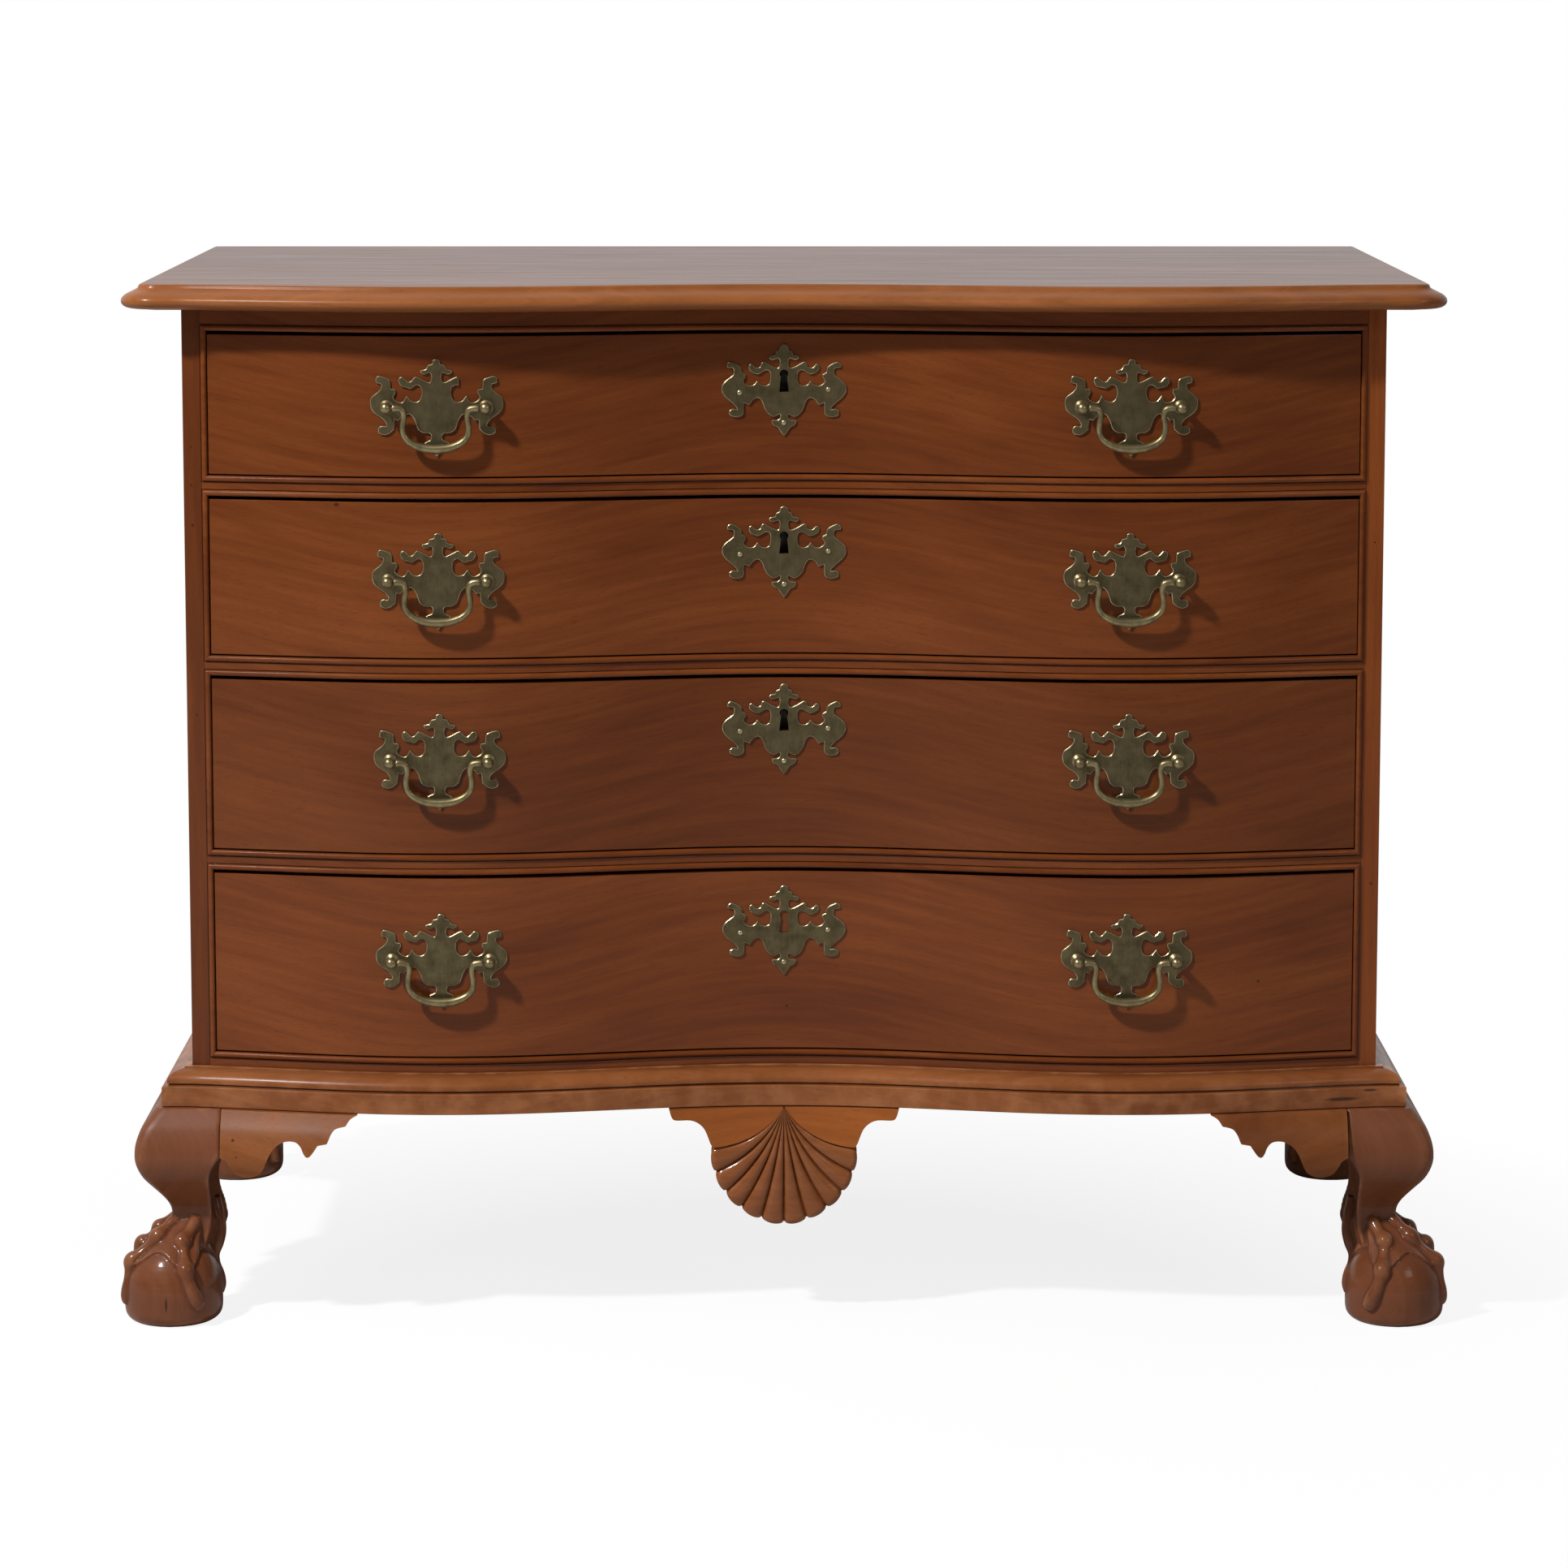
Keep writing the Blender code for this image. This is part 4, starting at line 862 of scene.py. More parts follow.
def rebated_foot(z):
    """The lower edge of a rail's front, set back for a bead."""
    return [(-BEAD_SUNK, z), (-BEAD_SUNK, z + BEAD_ROOM), (0, z + BEAD_ROOM)]


def rebated_head(z):
    """The upper edge of a rail's front, set back for a bead."""
    return [(0, z - BEAD_ROOM), (-BEAD_SUNK, z - BEAD_ROOM), (-BEAD_SUNK, z)]


def make_rails():
    reach = OPENING_HALF + BEAD_ROOM - FIT
    for number in BLADES:
        low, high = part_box(f"drawer_blade_{number}")
        section = rebated_foot(low.z) + rebated_head(high.z)
        piece = swelled(f"blade_{number}", section, reach, BLADE_BACK_Y)
        if number + 1 in LOCKED:
            cut_mortise(piece, number + 1)
        look = polished(f"blade_mahogany_{number}", FRONT_TONES, "X", board_shift(6 + number))
        finish(piece, "case", look, [f"drawer_blade_{number}"])
    low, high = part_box("top_rail")
    piece = swelled("rail_top", rebated_foot(low.z) + [(0, high.z)], reach, BLADE_BACK_Y)
    cut_mortise(piece, 1)
    look = polished("top_rail_mahogany", FRONT_TONES, "X", board_shift(5))
    finish(piece, "case", look, ["top_rail"])
    low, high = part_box("bottom_board")
    piece = swelled("case_bottom", [(0, low.z)] + rebated_head(high.z), reach, high.y)
    look = polished("bottom_mahogany", FRONT_TONES, "X", board_shift(10))
    finish(piece, "case", look, ["bottom_board"])


def bead_section():
    """A half-round bead, as (forward, distance from the opening)."""
    points = [(-BEAD_SUNK, 0.0)]
    for k in range(BEAD_STEPS + 1):
        turn = math.pi * k / BEAD_STEPS
        points.append((BEAD_PROUD * math.sin(turn), BEAD_WIDTH * (1 - math.cos(turn)) / 2))
    return points + [(-BEAD_SUNK, BEAD_WIDTH)]


def mitred_loop(share, half, section):
    """A section of (out, forward, height) at a share of the half width, its ends spread to a mitre."""
    loop = []
    for out, forward, z in section:
        x = share * (half + out)
        loop.append((x, front_y(x) - forward, z))
    return loop


def make_bead_frame(number):
    """The bead round an opening: four lengths mitred at the corners."""
    foot, head = opening(number)
    edges = []
    lengths = []
    for level, away in ((foot, -1), (head, 1)):
        edge = [(out, forward, level + away * out) for forward, out in bead_section()]
        edges.append(edge)
        lengths.append(loft("bead_length", [mitred_loop(share, OPENING_HALF, edge) for share in stations()]))
    for sign in (-1, 1):
        lengths.append(loft("bead_length", [mitred_loop(sign, OPENING_HALF, edge) for edge in edges]))
    piece = join(f"bead_frame_{number}", lengths)
    look = polished(f"bead_mahogany_{number}", FRONT_TONES, "X", board_shift(12 + number), 0.24)
    finish(piece, "case", look)


def make_base_moulding():
    section = [(proud, proud, FOOT_HEIGHT + height) for proud, height in MOULDING_SECTION]
    piece = loft("moulding_front", [mitred_loop(share, CASE_HALF, section) for share in stations()])
    mark_wear_and_shade(piece, 1.6, 0)
    stain = on_front(FASCIA_STAIN, FASCIA_PROUD)
    look = polished("moulding_mahogany_front", PALE_TONES, "X", board_shift(18), 0.28, True, stain, haze=0.22)
    finish(piece, "case", look, ["base_moulding_front"], 40)
    corner_y = front_y(CASE_HALF)
    for side, sign in SIDES:
        mitre = [(sign * (CASE_HALF + out), corner_y - proud + FIT, z) for out, proud, z in section]
        square = [(x, CASE_BACK_Y, z) for x, y, z in mitre]
        piece = loft(f"moulding_{side}", [mitre, square])
        mark_wear_and_shade(piece, 1.6, 0)
        shift = board_shift(20 + sign)
        look = polished(f"moulding_mahogany_{side}", PALE_TONES, "Y", shift, 0.28, True, haze=0.22)
        finish(piece, "case", look, [f"base_moulding_{side}"], 40)


def make_back():
    low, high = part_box("back_board")
    height = (high.z - low.z) / BACK_PLANKS
    look = wood("back_poplar", POPLAR_TONES, "X", board_shift(24), 0.62)
    for k in range(BACK_PLANKS):
        foot = Vector((low.x, low.y, low.z + k * height + PLANK_GAP))
        head = Vector((high.x, high.y, low.z + (k + 1) * height - PLANK_GAP))
        plank = board(f"back_plank_{k + 1}", foot, head, PLANK_EASE)
        finish(plank, "case", look, ["back_board"])


# Feet
def leg_ring(z, out, inner, corner, hollow, arris):
    """One level of the leg: two outer faces that meet at a rounded arris, and two hollowed inner faces."""
    ease = LEG_EASE
    ring = []
    for k in range(LEG_ARRIS_STEPS + 1):
        turn = math.pi / 2 * k / LEG_ARRIS_STEPS
        ring.append((out - arris + arris * math.sin(turn), out - arris + arris * math.cos(turn)))
    inner_face = [(out, inner + ease), (out - ease * 0.3, inner + ease * 0.3), (out - ease, inner)]
    start = Vector(inner_face[-1])
    end = Vector((corner + ease, corner))
    run = end - start
    inward = Vector((run.y, -run.x)).normalized()
    if inward.y < 0:
        inward = -inward
    for share in (0.2, 0.4, 0.6, 0.8):
        inner_face.append(tuple(start + run * share + inward * hollow * math.sin(math.pi * share)))
    inner_face.append(tuple(end))
    ring += inner_face
    ring += [(y, x) for x, y in reversed(inner_face)]
    return [(x, y, z) for x, y in ring]


def knee_reach(z):
    """How far the leg's outer face stands out of the case at a height."""
    levels = smooth_row([level[:3] for level in LEG_LEVELS], LEG_STEPS)
    heights = [level[0] for level in reversed(levels)]
    reaches = [level[1] for level in reversed(levels)]
    return float(np.interp(z, heights, reaches))


def make_leg():
    rows = []
    for k in range(3):
        rows.append(smooth_row([level[2 * k:2 * k + 2] for level in LEG_LEVELS], LEG_STEPS))
    post_top = CASE_BOTTOM - FIT
    shoulder = LEG_LEVELS[0][0]
    loops = []
    for z in (post_top, shoulder + LEG_POST_FOOT):
        loops.append(leg_ring(z, 0.0, -LEG_INSET, -LEG_INSET, 0.0, LEG_POST_ARRIS))
    for first, second, third in zip(*rows):
        loops.append(leg_ring(*first, *second, *third))
    return loft("leg", loops)


def make_ball():
    """The ball, broad and flat where it stands."""
    rings = []
    for k in range(BALL_RINGS):
        z = BALL_WIDEST * k / BALL_RINGS
        draw = BALL_BASE_DRAW * (1 - z / BALL_WIDEST) ** BALL_BASE_POWER
        rings.append((z, BALL_RADIUS * (1 - draw)))
    for k in range(BALL_RINGS):
        turn = math.radians(80) * k / (BALL_RINGS - 1)
        rings.append((BALL_WIDEST + BALL_UPPER * math.sin(turn), BALL_RADIUS * math.cos(turn)))
    turns = full_turn(BALL_SIDES)
    loops = []
    for z, radius in rings:
        loops.append([(BALL_OUT + radius * math.cos(t), BALL_OUT + radius * math.sin(t), z) for t in turns])
    return loft("ball", loops)


def ball_radius(z):
    return BALL_RADIUS * math.sqrt(max(0.0, 1 - ((z - BALL_WIDEST) / BALL_UPPER) ** 2))


def web_rim(turn):
    """The height of the web's rim in a direction from the ball's axis."""
    near = 0.0
    for toe in TOES:
        u, v = toe[TOE_CROSSING][:2]
        apart = math.remainder(turn - math.atan2(v, u), 2 * math.pi)
        near = max(near, math.exp(-(apart / WEB_TOE_WIDTH) ** 2))
    return WEB_RIM - WEB_DIP * near


def make_web():
    shift, ankle_z, ankle_radius = WEB_ANKLE
    turns = full_turn(BALL_SIDES)
    rims = [web_rim(turn) for turn in turns]
    loops = []
    for ring in range(WEB_RINGS):
        share = ring / (WEB_RINGS - 1)
        middle = BALL_OUT - shift * (1 - share) ** WEB_LEAN_POWER
        spread = share ** WEB_SPREAD_POWER
        loop = []
        for turn, rim in zip(turns, rims):
            radius = ankle_radius + (ball_radius(rim) + WEB_PROUD - ankle_radius) * spread
            z = ankle_z + (rim - ankle_z) * share
            loop.append((middle + radius * math.cos(turn), middle + radius * math.sin(turn), z))
        loops.append(loop)
    tucked = []
    for turn, rim in zip(turns, rims):
        radius = ball_radius(rim) - 2 * WEB_PROUD
        x = BALL_OUT + radius * math.cos(turn)
        y = BALL_OUT + radius * math.sin(turn)
        tucked.append((x, y, rim - WEB_PROUD))
    return loft("web", loops + [tucked])


def make_toe(points):
    row = smooth_row(points, TOE_STEPS)
    path = [Vector((BALL_OUT + u, BALL_OUT + v, z)) for u, v, z, _ in row]
    radii = [radius for *_, radius in row]
    path.append(path[-1] + (path[-1] - path[-2]).normalized() * TOE_TIP)
    radii.append(radii[-1] * TOE_TIP_SHARE)
    axis = Vector((BALL_OUT, BALL_OUT, 0))

    def outward(point):
        away = point - axis
        return Vector((away.x, away.y, TOE_TILT)).normalized()

    return tube("toe", path, radii, outward, TOE_SIDES)


def carve_foot():
    """One foot, its knee towards +X and +Y: leg, ball and toes merged and smoothed as one carving."""
    foot = join("foot", [make_leg(), make_ball(), make_web()] + [make_toe(points) for points in TOES])
    remesh = foot.modifiers.new("carve", "REMESH")
    remesh.mode = "VOXEL"
    remesh.voxel_size = CARVING_GRAIN
    bpy.ops.object.modifier_apply(modifier=remesh.name)
    smooth = foot.modifiers.new("scrape", "SMOOTH")
    smooth.factor = 0.5
    smooth.iterations = CARVING_SMOOTH
    bpy.ops.object.modifier_apply(modifier=smooth.name)
    # The hollows under the web and between the toes are darkened later as painted shade with grime
    mark_wear_and_shade(foot, 5.0, 3)
    return foot


def make_feet():
    pattern = carve_foot()
    rear_y = CASE_BACK_Y - REAR_FOOT_SETBACK
    for row, along, y in (("front", -1, front_y(CASE_HALF)), ("rear", 1, rear_y)):
        for side, sign in SIDES:
            place = Matrix.Translation((sign * CASE_HALF, y, 0)) @ Matrix.Diagonal((sign, along, 1, 1))
            label = f"{row}_{side}"
            foot = copy(pattern, f"claw_foot_{label}", place)
            ball_front = y - BALL_OUT - BALL_RADIUS
            slot = []
            if label == "front_left":
                slot = [(x, ball_front, z, wide, tall) for x, z, wide, tall in BALL_SLOT]
            shift = board_shift(30 + sign + along)
            look = polished(f"foot_mahogany_{label}", FOOT_TONES, "Z", shift, 0.36, True, slot, film=0.30)
            haze_upward(look, CLAW_HAZE, KNEE_HAZE)
            finish(foot, "case", look, [f"foot_{label}"], 60)
    bpy.data.objects.remove(pattern, do_unlink=True)


# Knee brackets
def bracket_outline():
    """The scrolled edge with the bracket's ends and top, as (distance, height)."""
    points = []
    for run in BRACKET_RUNS:
        points += [(d, FOOT_HEIGHT - drop) for d, drop in smooth_row(run, SCROLL_STEPS)]
    return points + [(BRACKET_LENGTH, CASE_BOTTOM - FIT), (0.0, CASE_BOTTOM - FIT)]


def make_bracket(name, node, place, grain, number):
    top = FOOT_HEIGHT - FIT
    section = [(-BRACKET_BACK, FOOT_HEIGHT - BRACKET_DEPTH)]
    for k in range(BRACKET_LEVELS + 1):
        z = FOOT_HEIGHT - BRACKET_DEPTH + (top - FOOT_HEIGHT + BRACKET_DEPTH) * k / BRACKET_LEVELS
        section.append((knee_reach(z), z))
    section += [(0.0, top), (0.0, CASE_BOTTOM), (-BRACKET_BACK, CASE_BOTTOM)]
    loops = []
    for k in range(BRACKET_CUTS + 1):
        d = BRACKET_LENGTH * k / BRACKET_CUTS
        loops.append([place(d, out, z) for out, z in section])
    block = loft(name, loops)
    outline = bracket_outline()
    scroll = loft("scroll", [[place(d, out, z) for d, z in outline] for out in (-CUT_PAST / 2, CUT_PAST / 2)])
    cut(block, scroll, "INTERSECT")
    block.name = name
    mark_wear_and_shade(block, 0.6, 0)
    holes = []
    if node == "bracket_front_left":
        for hole in BRACKET_HOLES:
            holes += on_front([hole], knee_reach(hole[1]))
    tones = toned(PALE_TONES, BRACKET_GAIN)
    shift = board_shift(number)
    look = polished(f"{name}_mahogany", tones, grain, shift, 0.40, True, holes, film=0.07, haze=0.36)
    finish(block, "case", look, [node], 30)


def make_brackets():
    seam = LEG_INSET + FIT
    rear_y = CASE_BACK_Y - REAR_FOOT_SETBACK
    for side, sign in SIDES:
        def at_front(d, out, z, sign=sign):
            x = sign * (CASE_HALF - seam - d)
            return (x, front_y(x) - out, z)

        def at_side(d, out, z, sign=sign):
            return (sign * (CASE_HALF + out), front_y(CASE_HALF) + seam + d, z)

        def at_rear(d, out, z, sign=sign):
            return (sign * (CASE_HALF + out), rear_y - seam - d, z)

        make_bracket(f"knee_bracket_front_{side}", f"bracket_front_{side}", at_front, "X", 40 + sign)
        make_bracket(f"knee_bracket_side_{side}", f"bracket_side_front_{side}", at_side, "Y", 43 + sign)
        make_bracket(f"knee_bracket_rear_{side}", f"bracket_side_rear_{side}", at_rear, "Y", 46 + sign)


# Shell pendant
def shell_reach(angle, bulge):
    fall = (abs(angle) / SHELL_HALF_SPREAD) ** SHELL_FALL_POWER
    return SHELL_DROP - (SHELL_DROP - SHELL_SIDE_REACH) * fall + SHELL_LOBE_SWELL * bulge


def shell_angle(share):
    """The direction at a share from -1 to 1 across the shell, its outermost lobes the broadest."""
    return SHELL_HALF_SPREAD * share * (1 - SHELL_END_LOBES + SHELL_END_LOBES * share ** 6)


def shell_spot(angle, bulge, share):
    """A point of the shell, as (x, drop): its grooves flare like a trumpet from the hinge to the rim."""
    reach = shell_reach(angle, bulge) * share
    turn = angle * (1 - SHELL_FLARE + SHELL_FLARE * share)
    return reach * math.sin(turn), reach * math.cos(turn)


def make_shell():
    """The fluted shell: rows of points from the hinge to the scalloped rim, each row across all the lobes."""
    columns = SHELL_LOBES * SHELL_LOBE_STEPS
    loops = []
    for ring in range(SHELL_RINGS + 1):
        share = SHELL_HINGE + (1 - SHELL_HINGE) * ring / SHELL_RINGS
        rim = max(0.0, (share - (1 - SHELL_RIM)) / SHELL_RIM)
        groove = SHELL_GROOVE * min(1.0, SHELL_GROOVE_START + share * SHELL_GROOVE_RATE)
        front = []
        back = []
        for k in range(columns + 1):
            bulge = math.sin(math.pi * (k % SHELL_LOBE_STEPS) / SHELL_LOBE_STEPS) ** SHELL_ROUND
            x, drop = shell_spot(shell_angle(2 * k / columns - 1), bulge, share)
            face = front_y(x) - SHELL_FORWARD
            sunk = groove * (1 - bulge) + SHELL_RIM_SUNK * rim ** 2
            front.append((x, face - SHELL_PROUD + sunk, SHELL_TOP - drop))
            back.append((x, face + SHELL_THICKNESS, SHELL_TOP - drop))
        loops.append(front + back[::-1])
    return loft("shell", loops)


def bend_to_front(piece, forward, cuts):
    """Cut a flat piece into upright strips and bend it to the swelled front."""
    across = [vert.co.x for vert in piece.data.vertices]
    low = min(across)
    high = max(across)
    edit(piece)
    for k in range(1, cuts):
        bpy.ops.mesh.select_all(action="SELECT")
        bpy.ops.mesh.bisect(plane_co=(low + (high - low) * k / cuts, 0, 0), plane_no=(1, 0, 0))
    bpy.ops.mesh.select_all(action="SELECT")
    bpy.ops.mesh.quads_convert_to_tris()
    leave_edit()
    for vert in piece.data.vertices:
        vert.co.y += front_y(vert.co.x) - forward


def make_wing(sign):
    """One side of the plate that the shell hangs from, hollowed by a cove under its end."""
    edge = [tuple(point) for point in smooth_row(WING_EDGE, 3)]
    for k in range(WING_STEPS):
        edge.append(shell_spot(SHELL_HALF_SPREAD, 0.0, 1 - k / WING_STEPS))
    outline = [(0.0, SHELL_TOP)] + [(sign * x, SHELL_TOP - drop) for x, drop in edge]
    wing = prism("wing", outline, 0.0, SHELL_THICKNESS)
    bend_to_front(wing, SHELL_FORWARD, WING_CUTS)
    return wing


def make_pendant():
    shell = make_shell()
    half = WING_EDGE[0][0]
    low = (-half, CENTRE_Y + FIT, SHELL_TOP - TONGUE_DROP)
    tongue = board("tongue", low, (half, CENTRE_Y + TONGUE_THICKNESS, CASE_BOTTOM - FIT))
    mark_wear_and_shade(shell, 1.8, 1)
    shift = board_shift(50)
    shell_look = polished("shell_mahogany", PALE_TONES, "X", shift, 0.34, True, film=0.36, haze=0.14)
    shell.data.materials.append(shell_look)
    plain = [make_wing(-1), make_wing(1), tongue]
    plate_look = polished("shell_plate_mahogany", WING_TONES, "X", board_shift(51), 0.34)
    for piece in plain:
        piece.data.materials.append(plate_look)
    pendant = join("shell_carving", [shell] + plain)
    finish(pendant, "case", None, ["shell_pendant"], 45)


# Drawers
def keyhole(z, y0, y1):
    """A cutter for a keyhole whose round head is centred at z."""
    skirt = [(half, z - drop) for half, drop in KEYHOLE_SKIRT]
    outline = [(-x, level) for x, level in reversed(skirt)]
    start = KEYHOLE_MEETING
    for k in range(KEYHOLE_STEPS + 1):
        turn = math.pi - start - (math.pi - 2 * start) * k / KEYHOLE_STEPS
        outline.append((KEYHOLE_HEAD * math.cos(turn), z + KEYHOLE_HEAD * math.sin(turn)))
    return prism("keyhole", outline + skirt, y0, y1)


def make_front(number):
    low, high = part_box(f"drawer_{number}_front")
    ease = FRONT_EASE
    slope = 0.3 * ease
    section = [(-ease, low.z), (-slope, low.z + slope), (0, low.z + ease)]
    section += [(0, high.z - ease), (-slope, high.z - slope), (-ease, high.z)]
    loops = []
    for share in stations():
        x = share * high.x
        loop = [(x, front_y(x) - forward, z) for forward, z in section]
        back = front_y(x) + FRONT_THICKNESS
        loops.append(loop + [(x, back, high.z), (x, back, low.z)])
    piece = loft(f"front_board_{number}", loops)
    if number in LOCKED:
        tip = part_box(f"escutcheon_{number}")[1].z
        cut(piece, keyhole(tip - KEYHOLE_DROP, CENTRE_Y - CUT_PAST, CENTRE_Y + CUT_PAST))
        lock_low, lock_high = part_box(f"lock_{number}")
        room = Vector((FIT, FIT, FIT))
        past = Vector((FIT, CUT_PAST, CUT_PAST))
        cut(piece, board("recess", lock_low - room, lock_high + past, ease=0.0004))
    tones = toned(FRONT_TONES, FRONT_GAINS[number])
    knots = on_front(FRONT_KNOTS.get(number, ()))
    look = polished(f"front_mahogany_{number}", tones, "X", board_shift(60 + 3 * number), spots=knots)
    finish(piece, f"drawer_{number}", look, [f"drawer_{number}_front"])


def make_box(number):
    """The drawer's sides, back and bottom as separate boards, the sides tailed into the front."""
    body = f"drawer_{number}"
    low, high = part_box(f"drawer_{number}_box")
    look = wood(f"box_poplar_{number}", POPLAR_TONES, "Y", board_shift(80 + number), 0.62)
    flat = wood(f"floor_poplar_{number}", POPLAR_TONES, "X", board_shift(90 + number), 0.66)
    end_y = front_y(high.x) + FRONT_THICKNESS
    for side, sign in SIDES:
        inner = sign * (high.x - BOX_SIDE)
        outer = sign * (high.x + TAIL_PROUD)
        left, right = sorted((inner, outer))
        boards = [board("run", (left, end_y + FIT, low.z), (right, high.y, high.z), BOX_EASE)]
        tails = max(2, int((high.z - low.z) / TAIL_PITCH))
        pitch = (high.z - low.z) / tails
        for k in range(tails):
            middle = low.z + (k + 0.5) * pitch
            wide = pitch * TAIL_WIDE
            slim = pitch * TAIL_SLIM
            loops = []
            for x in (left, right):
                loops.append([
                    (x, end_y + 2 * FIT, middle - slim), (x, end_y + 2 * FIT, middle + slim),
                    (x, end_y - TAIL_LENGTH, middle + wide), (x, end_y - TAIL_LENGTH, middle - wide),
                ])
            boards.append(loft("tail", loops))
        piece = join(f"drawer_side_{number}_{side}", boards)
        finish(piece, body, look, [f"drawer_{number}_box"])
    inner = high.x - BOX_SIDE - FIT
    floor = low.z + BOX_RAISE
    floor_top = floor + BOX_BOTTOM
    back_low = (-inner, high.y - BOX_BACK, floor_top + FIT)
    back = board(f"drawer_back_{number}", back_low, (inner, high.y, high.z), BOX_EASE)
    finish(back, body, flat, [f"drawer_{number}_box"])
    loops = []
    for share in stations():
        x = share * inner
        y = front_y(x) + FRONT_THICKNESS + FIT
        loops.append([(x, y, floor), (x, y, floor_top), (x, high.y, floor_top), (x, high.y, floor)])
    finish(loft(f"drawer_floor_{number}", loops), body, flat, [f"drawer_{number}_box"])


# Brass
def pick_front(plate, thickness):
    """Enter edit mode with the plate's front face selected."""
    edit(plate)
    bpy.context.tool_settings.mesh_select_mode = (False, False, True)
    bpy.ops.mesh.select_all(action="DESELECT")
    shape = bmesh.from_edit_mesh(plate.data)
    for face in shape.faces:
        middle = face.calc_center_median().y
        face.select_set(face.normal.y < -0.9 and middle < -thickness / 3)
    bmesh.update_edit_mesh(plate.data)


def curved_plate(name, outline, thickness):
    """A plate cut from sheet, its edge filed to a bright bevel, bent to the swelled front."""
    deselect()
    bpy.ops.mesh.primitive_circle_add(vertices=len(outline), fill_type="NGON")
    plate = bpy.context.object
    plate.name = name
    for vert, (u, v) in zip(plate.data.vertices, outline):
        vert.co = (u, 0, v)
    edit(plate)
    bpy.ops.mesh.select_all(action="SELECT")
    bpy.ops.mesh.extrude_region_move(TRANSFORM_OT_translate={"value": (0, PLATE_FILED - thickness, 0)})
    bpy.ops.mesh.select_all(action="SELECT")
    bpy.ops.mesh.normals_make_consistent(inside=False)
    leave_edit()
    pick_front(plate, thickness)
    bpy.ops.mesh.inset(thickness=PLATE_RIM, depth=PLATE_FILED)
    leave_edit()
    plate.data.materials.append(BRASS_AGED)
    plate.data.materials.append(BRASS_RUBBED)
    for face in plate.data.polygons:
        middle = face.center.y
        if -thickness + 0.00001 < middle < -0.0002 and abs(face.normal.y) > 0.2:
            face.material_index = 1
    bend_to_front(plate, FIT, PLATE_CUTS)
    return plate


def scaled(half, sign):
    return [(sign * u * MILLIMETRE, v * MILLIMETRE) for u, v in half]


def whole_outline(left, right):
    """A closed outline from two halves given tip to toe, run anticlockwise and smoothed."""
    points = scaled(left, -1) + scaled(right[1:-1], 1)[::-1]
    return [tuple(point) for point in smooth_row(points, 2, True)]


def bail_y():
    return LOBE_Y - FIT - PLATE_THICKNESS - BAIL_STANDOFF


def make_posts(name, body, x, z):
    """The two ball-headed posts of a pull, with their tails and nuts behind the drawer front."""
    pieces = []
    for sign in (-1, 1):
        post_x = x + sign * POST_SPACING / 2
        face = front_y(post_x)
        plate = face - FIT - PLATE_THICKNESS
        inside = face + FRONT_THICKNESS
        tail = inside + POST_TAIL
        rings = [(tail, POST_TAIL_RADII[0]), (tail - POST_TAIL_EASE, POST_TAIL_RADII[1])]
        rings += [(plate - proud, radius) for proud, radius in POST_COLLAR]
        start, end = POST_HEAD_TURNS
        for k in range(POST_HEAD_STEPS + 1):
            turn = start + (end - start) * k / POST_HEAD_STEPS
            rings.append((bail_y() - POST_HEAD * math.sin(turn), POST_HEAD * math.cos(turn)))
        pieces.append(turned("post", rings, post_x, z, POST_SIDES))
        nut_low = (post_x - NUT_HALF, inside + NUT_GAP, z - NUT_HALF)
        nut_high = (post_x + NUT_HALF, inside + NUT_HEIGHT, z + NUT_HALF)
        pieces.append(board("nut", nut_low, nut_high, ease=0.0005))
    piece = join(name, pieces)
    finish(piece, body, BRASS_HANDLED)


def make_bail(name, node, body, x, z):
    row = smooth_row(BAIL_HALF, BAIL_STEPS)
    whole = row + [Vector((-u, drop, radius)) for u, drop, radius in reversed(row[:-1])]
    path = [Vector((x + u, bail_y() + BAIL_LEAN * drop, z - drop)) for u, drop, _ in whole]
    radii = [radius for *_, radius in whole]
    bail = tube(name, path, radii, lambda point: Vector((0, -1, 0)), BAIL_SIDES)
    finish(bail, body, BRASS_HANDLED, [node], 60)


def broken_half():
    first, last = BROKEN_ARM
    return PULL_HALF[:first] + BROKEN_STUB + PULL_HALF[last + 1:]


def make_pulls(number):
    for side, sign in SIDES:
        label = f"{number}_{side}"
        low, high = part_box(f"pull_plate_{label}")
        x = (low.x + high.x) / 2
        z = low.z - PULL_HALF[-1][1] * MILLIMETRE
        right = broken_half() if label == "1_left" else PULL_HALF
        outline = [(x + u, z + v) for u, v in whole_outline(PULL_HALF, right)]
        plate = curved_plate(f"backplate_{label}", outline, PLATE_THICKNESS)
        finish(plate, f"drawer_{number}", BRASS_AGED, [f"pull_plate_{label}"])
        make_posts(f"posts_{label}", f"drawer_{number}", x, z)
        make_bail(f"swing_bail_{label}", f"bail_{label}", f"bail_{label}", x, z)


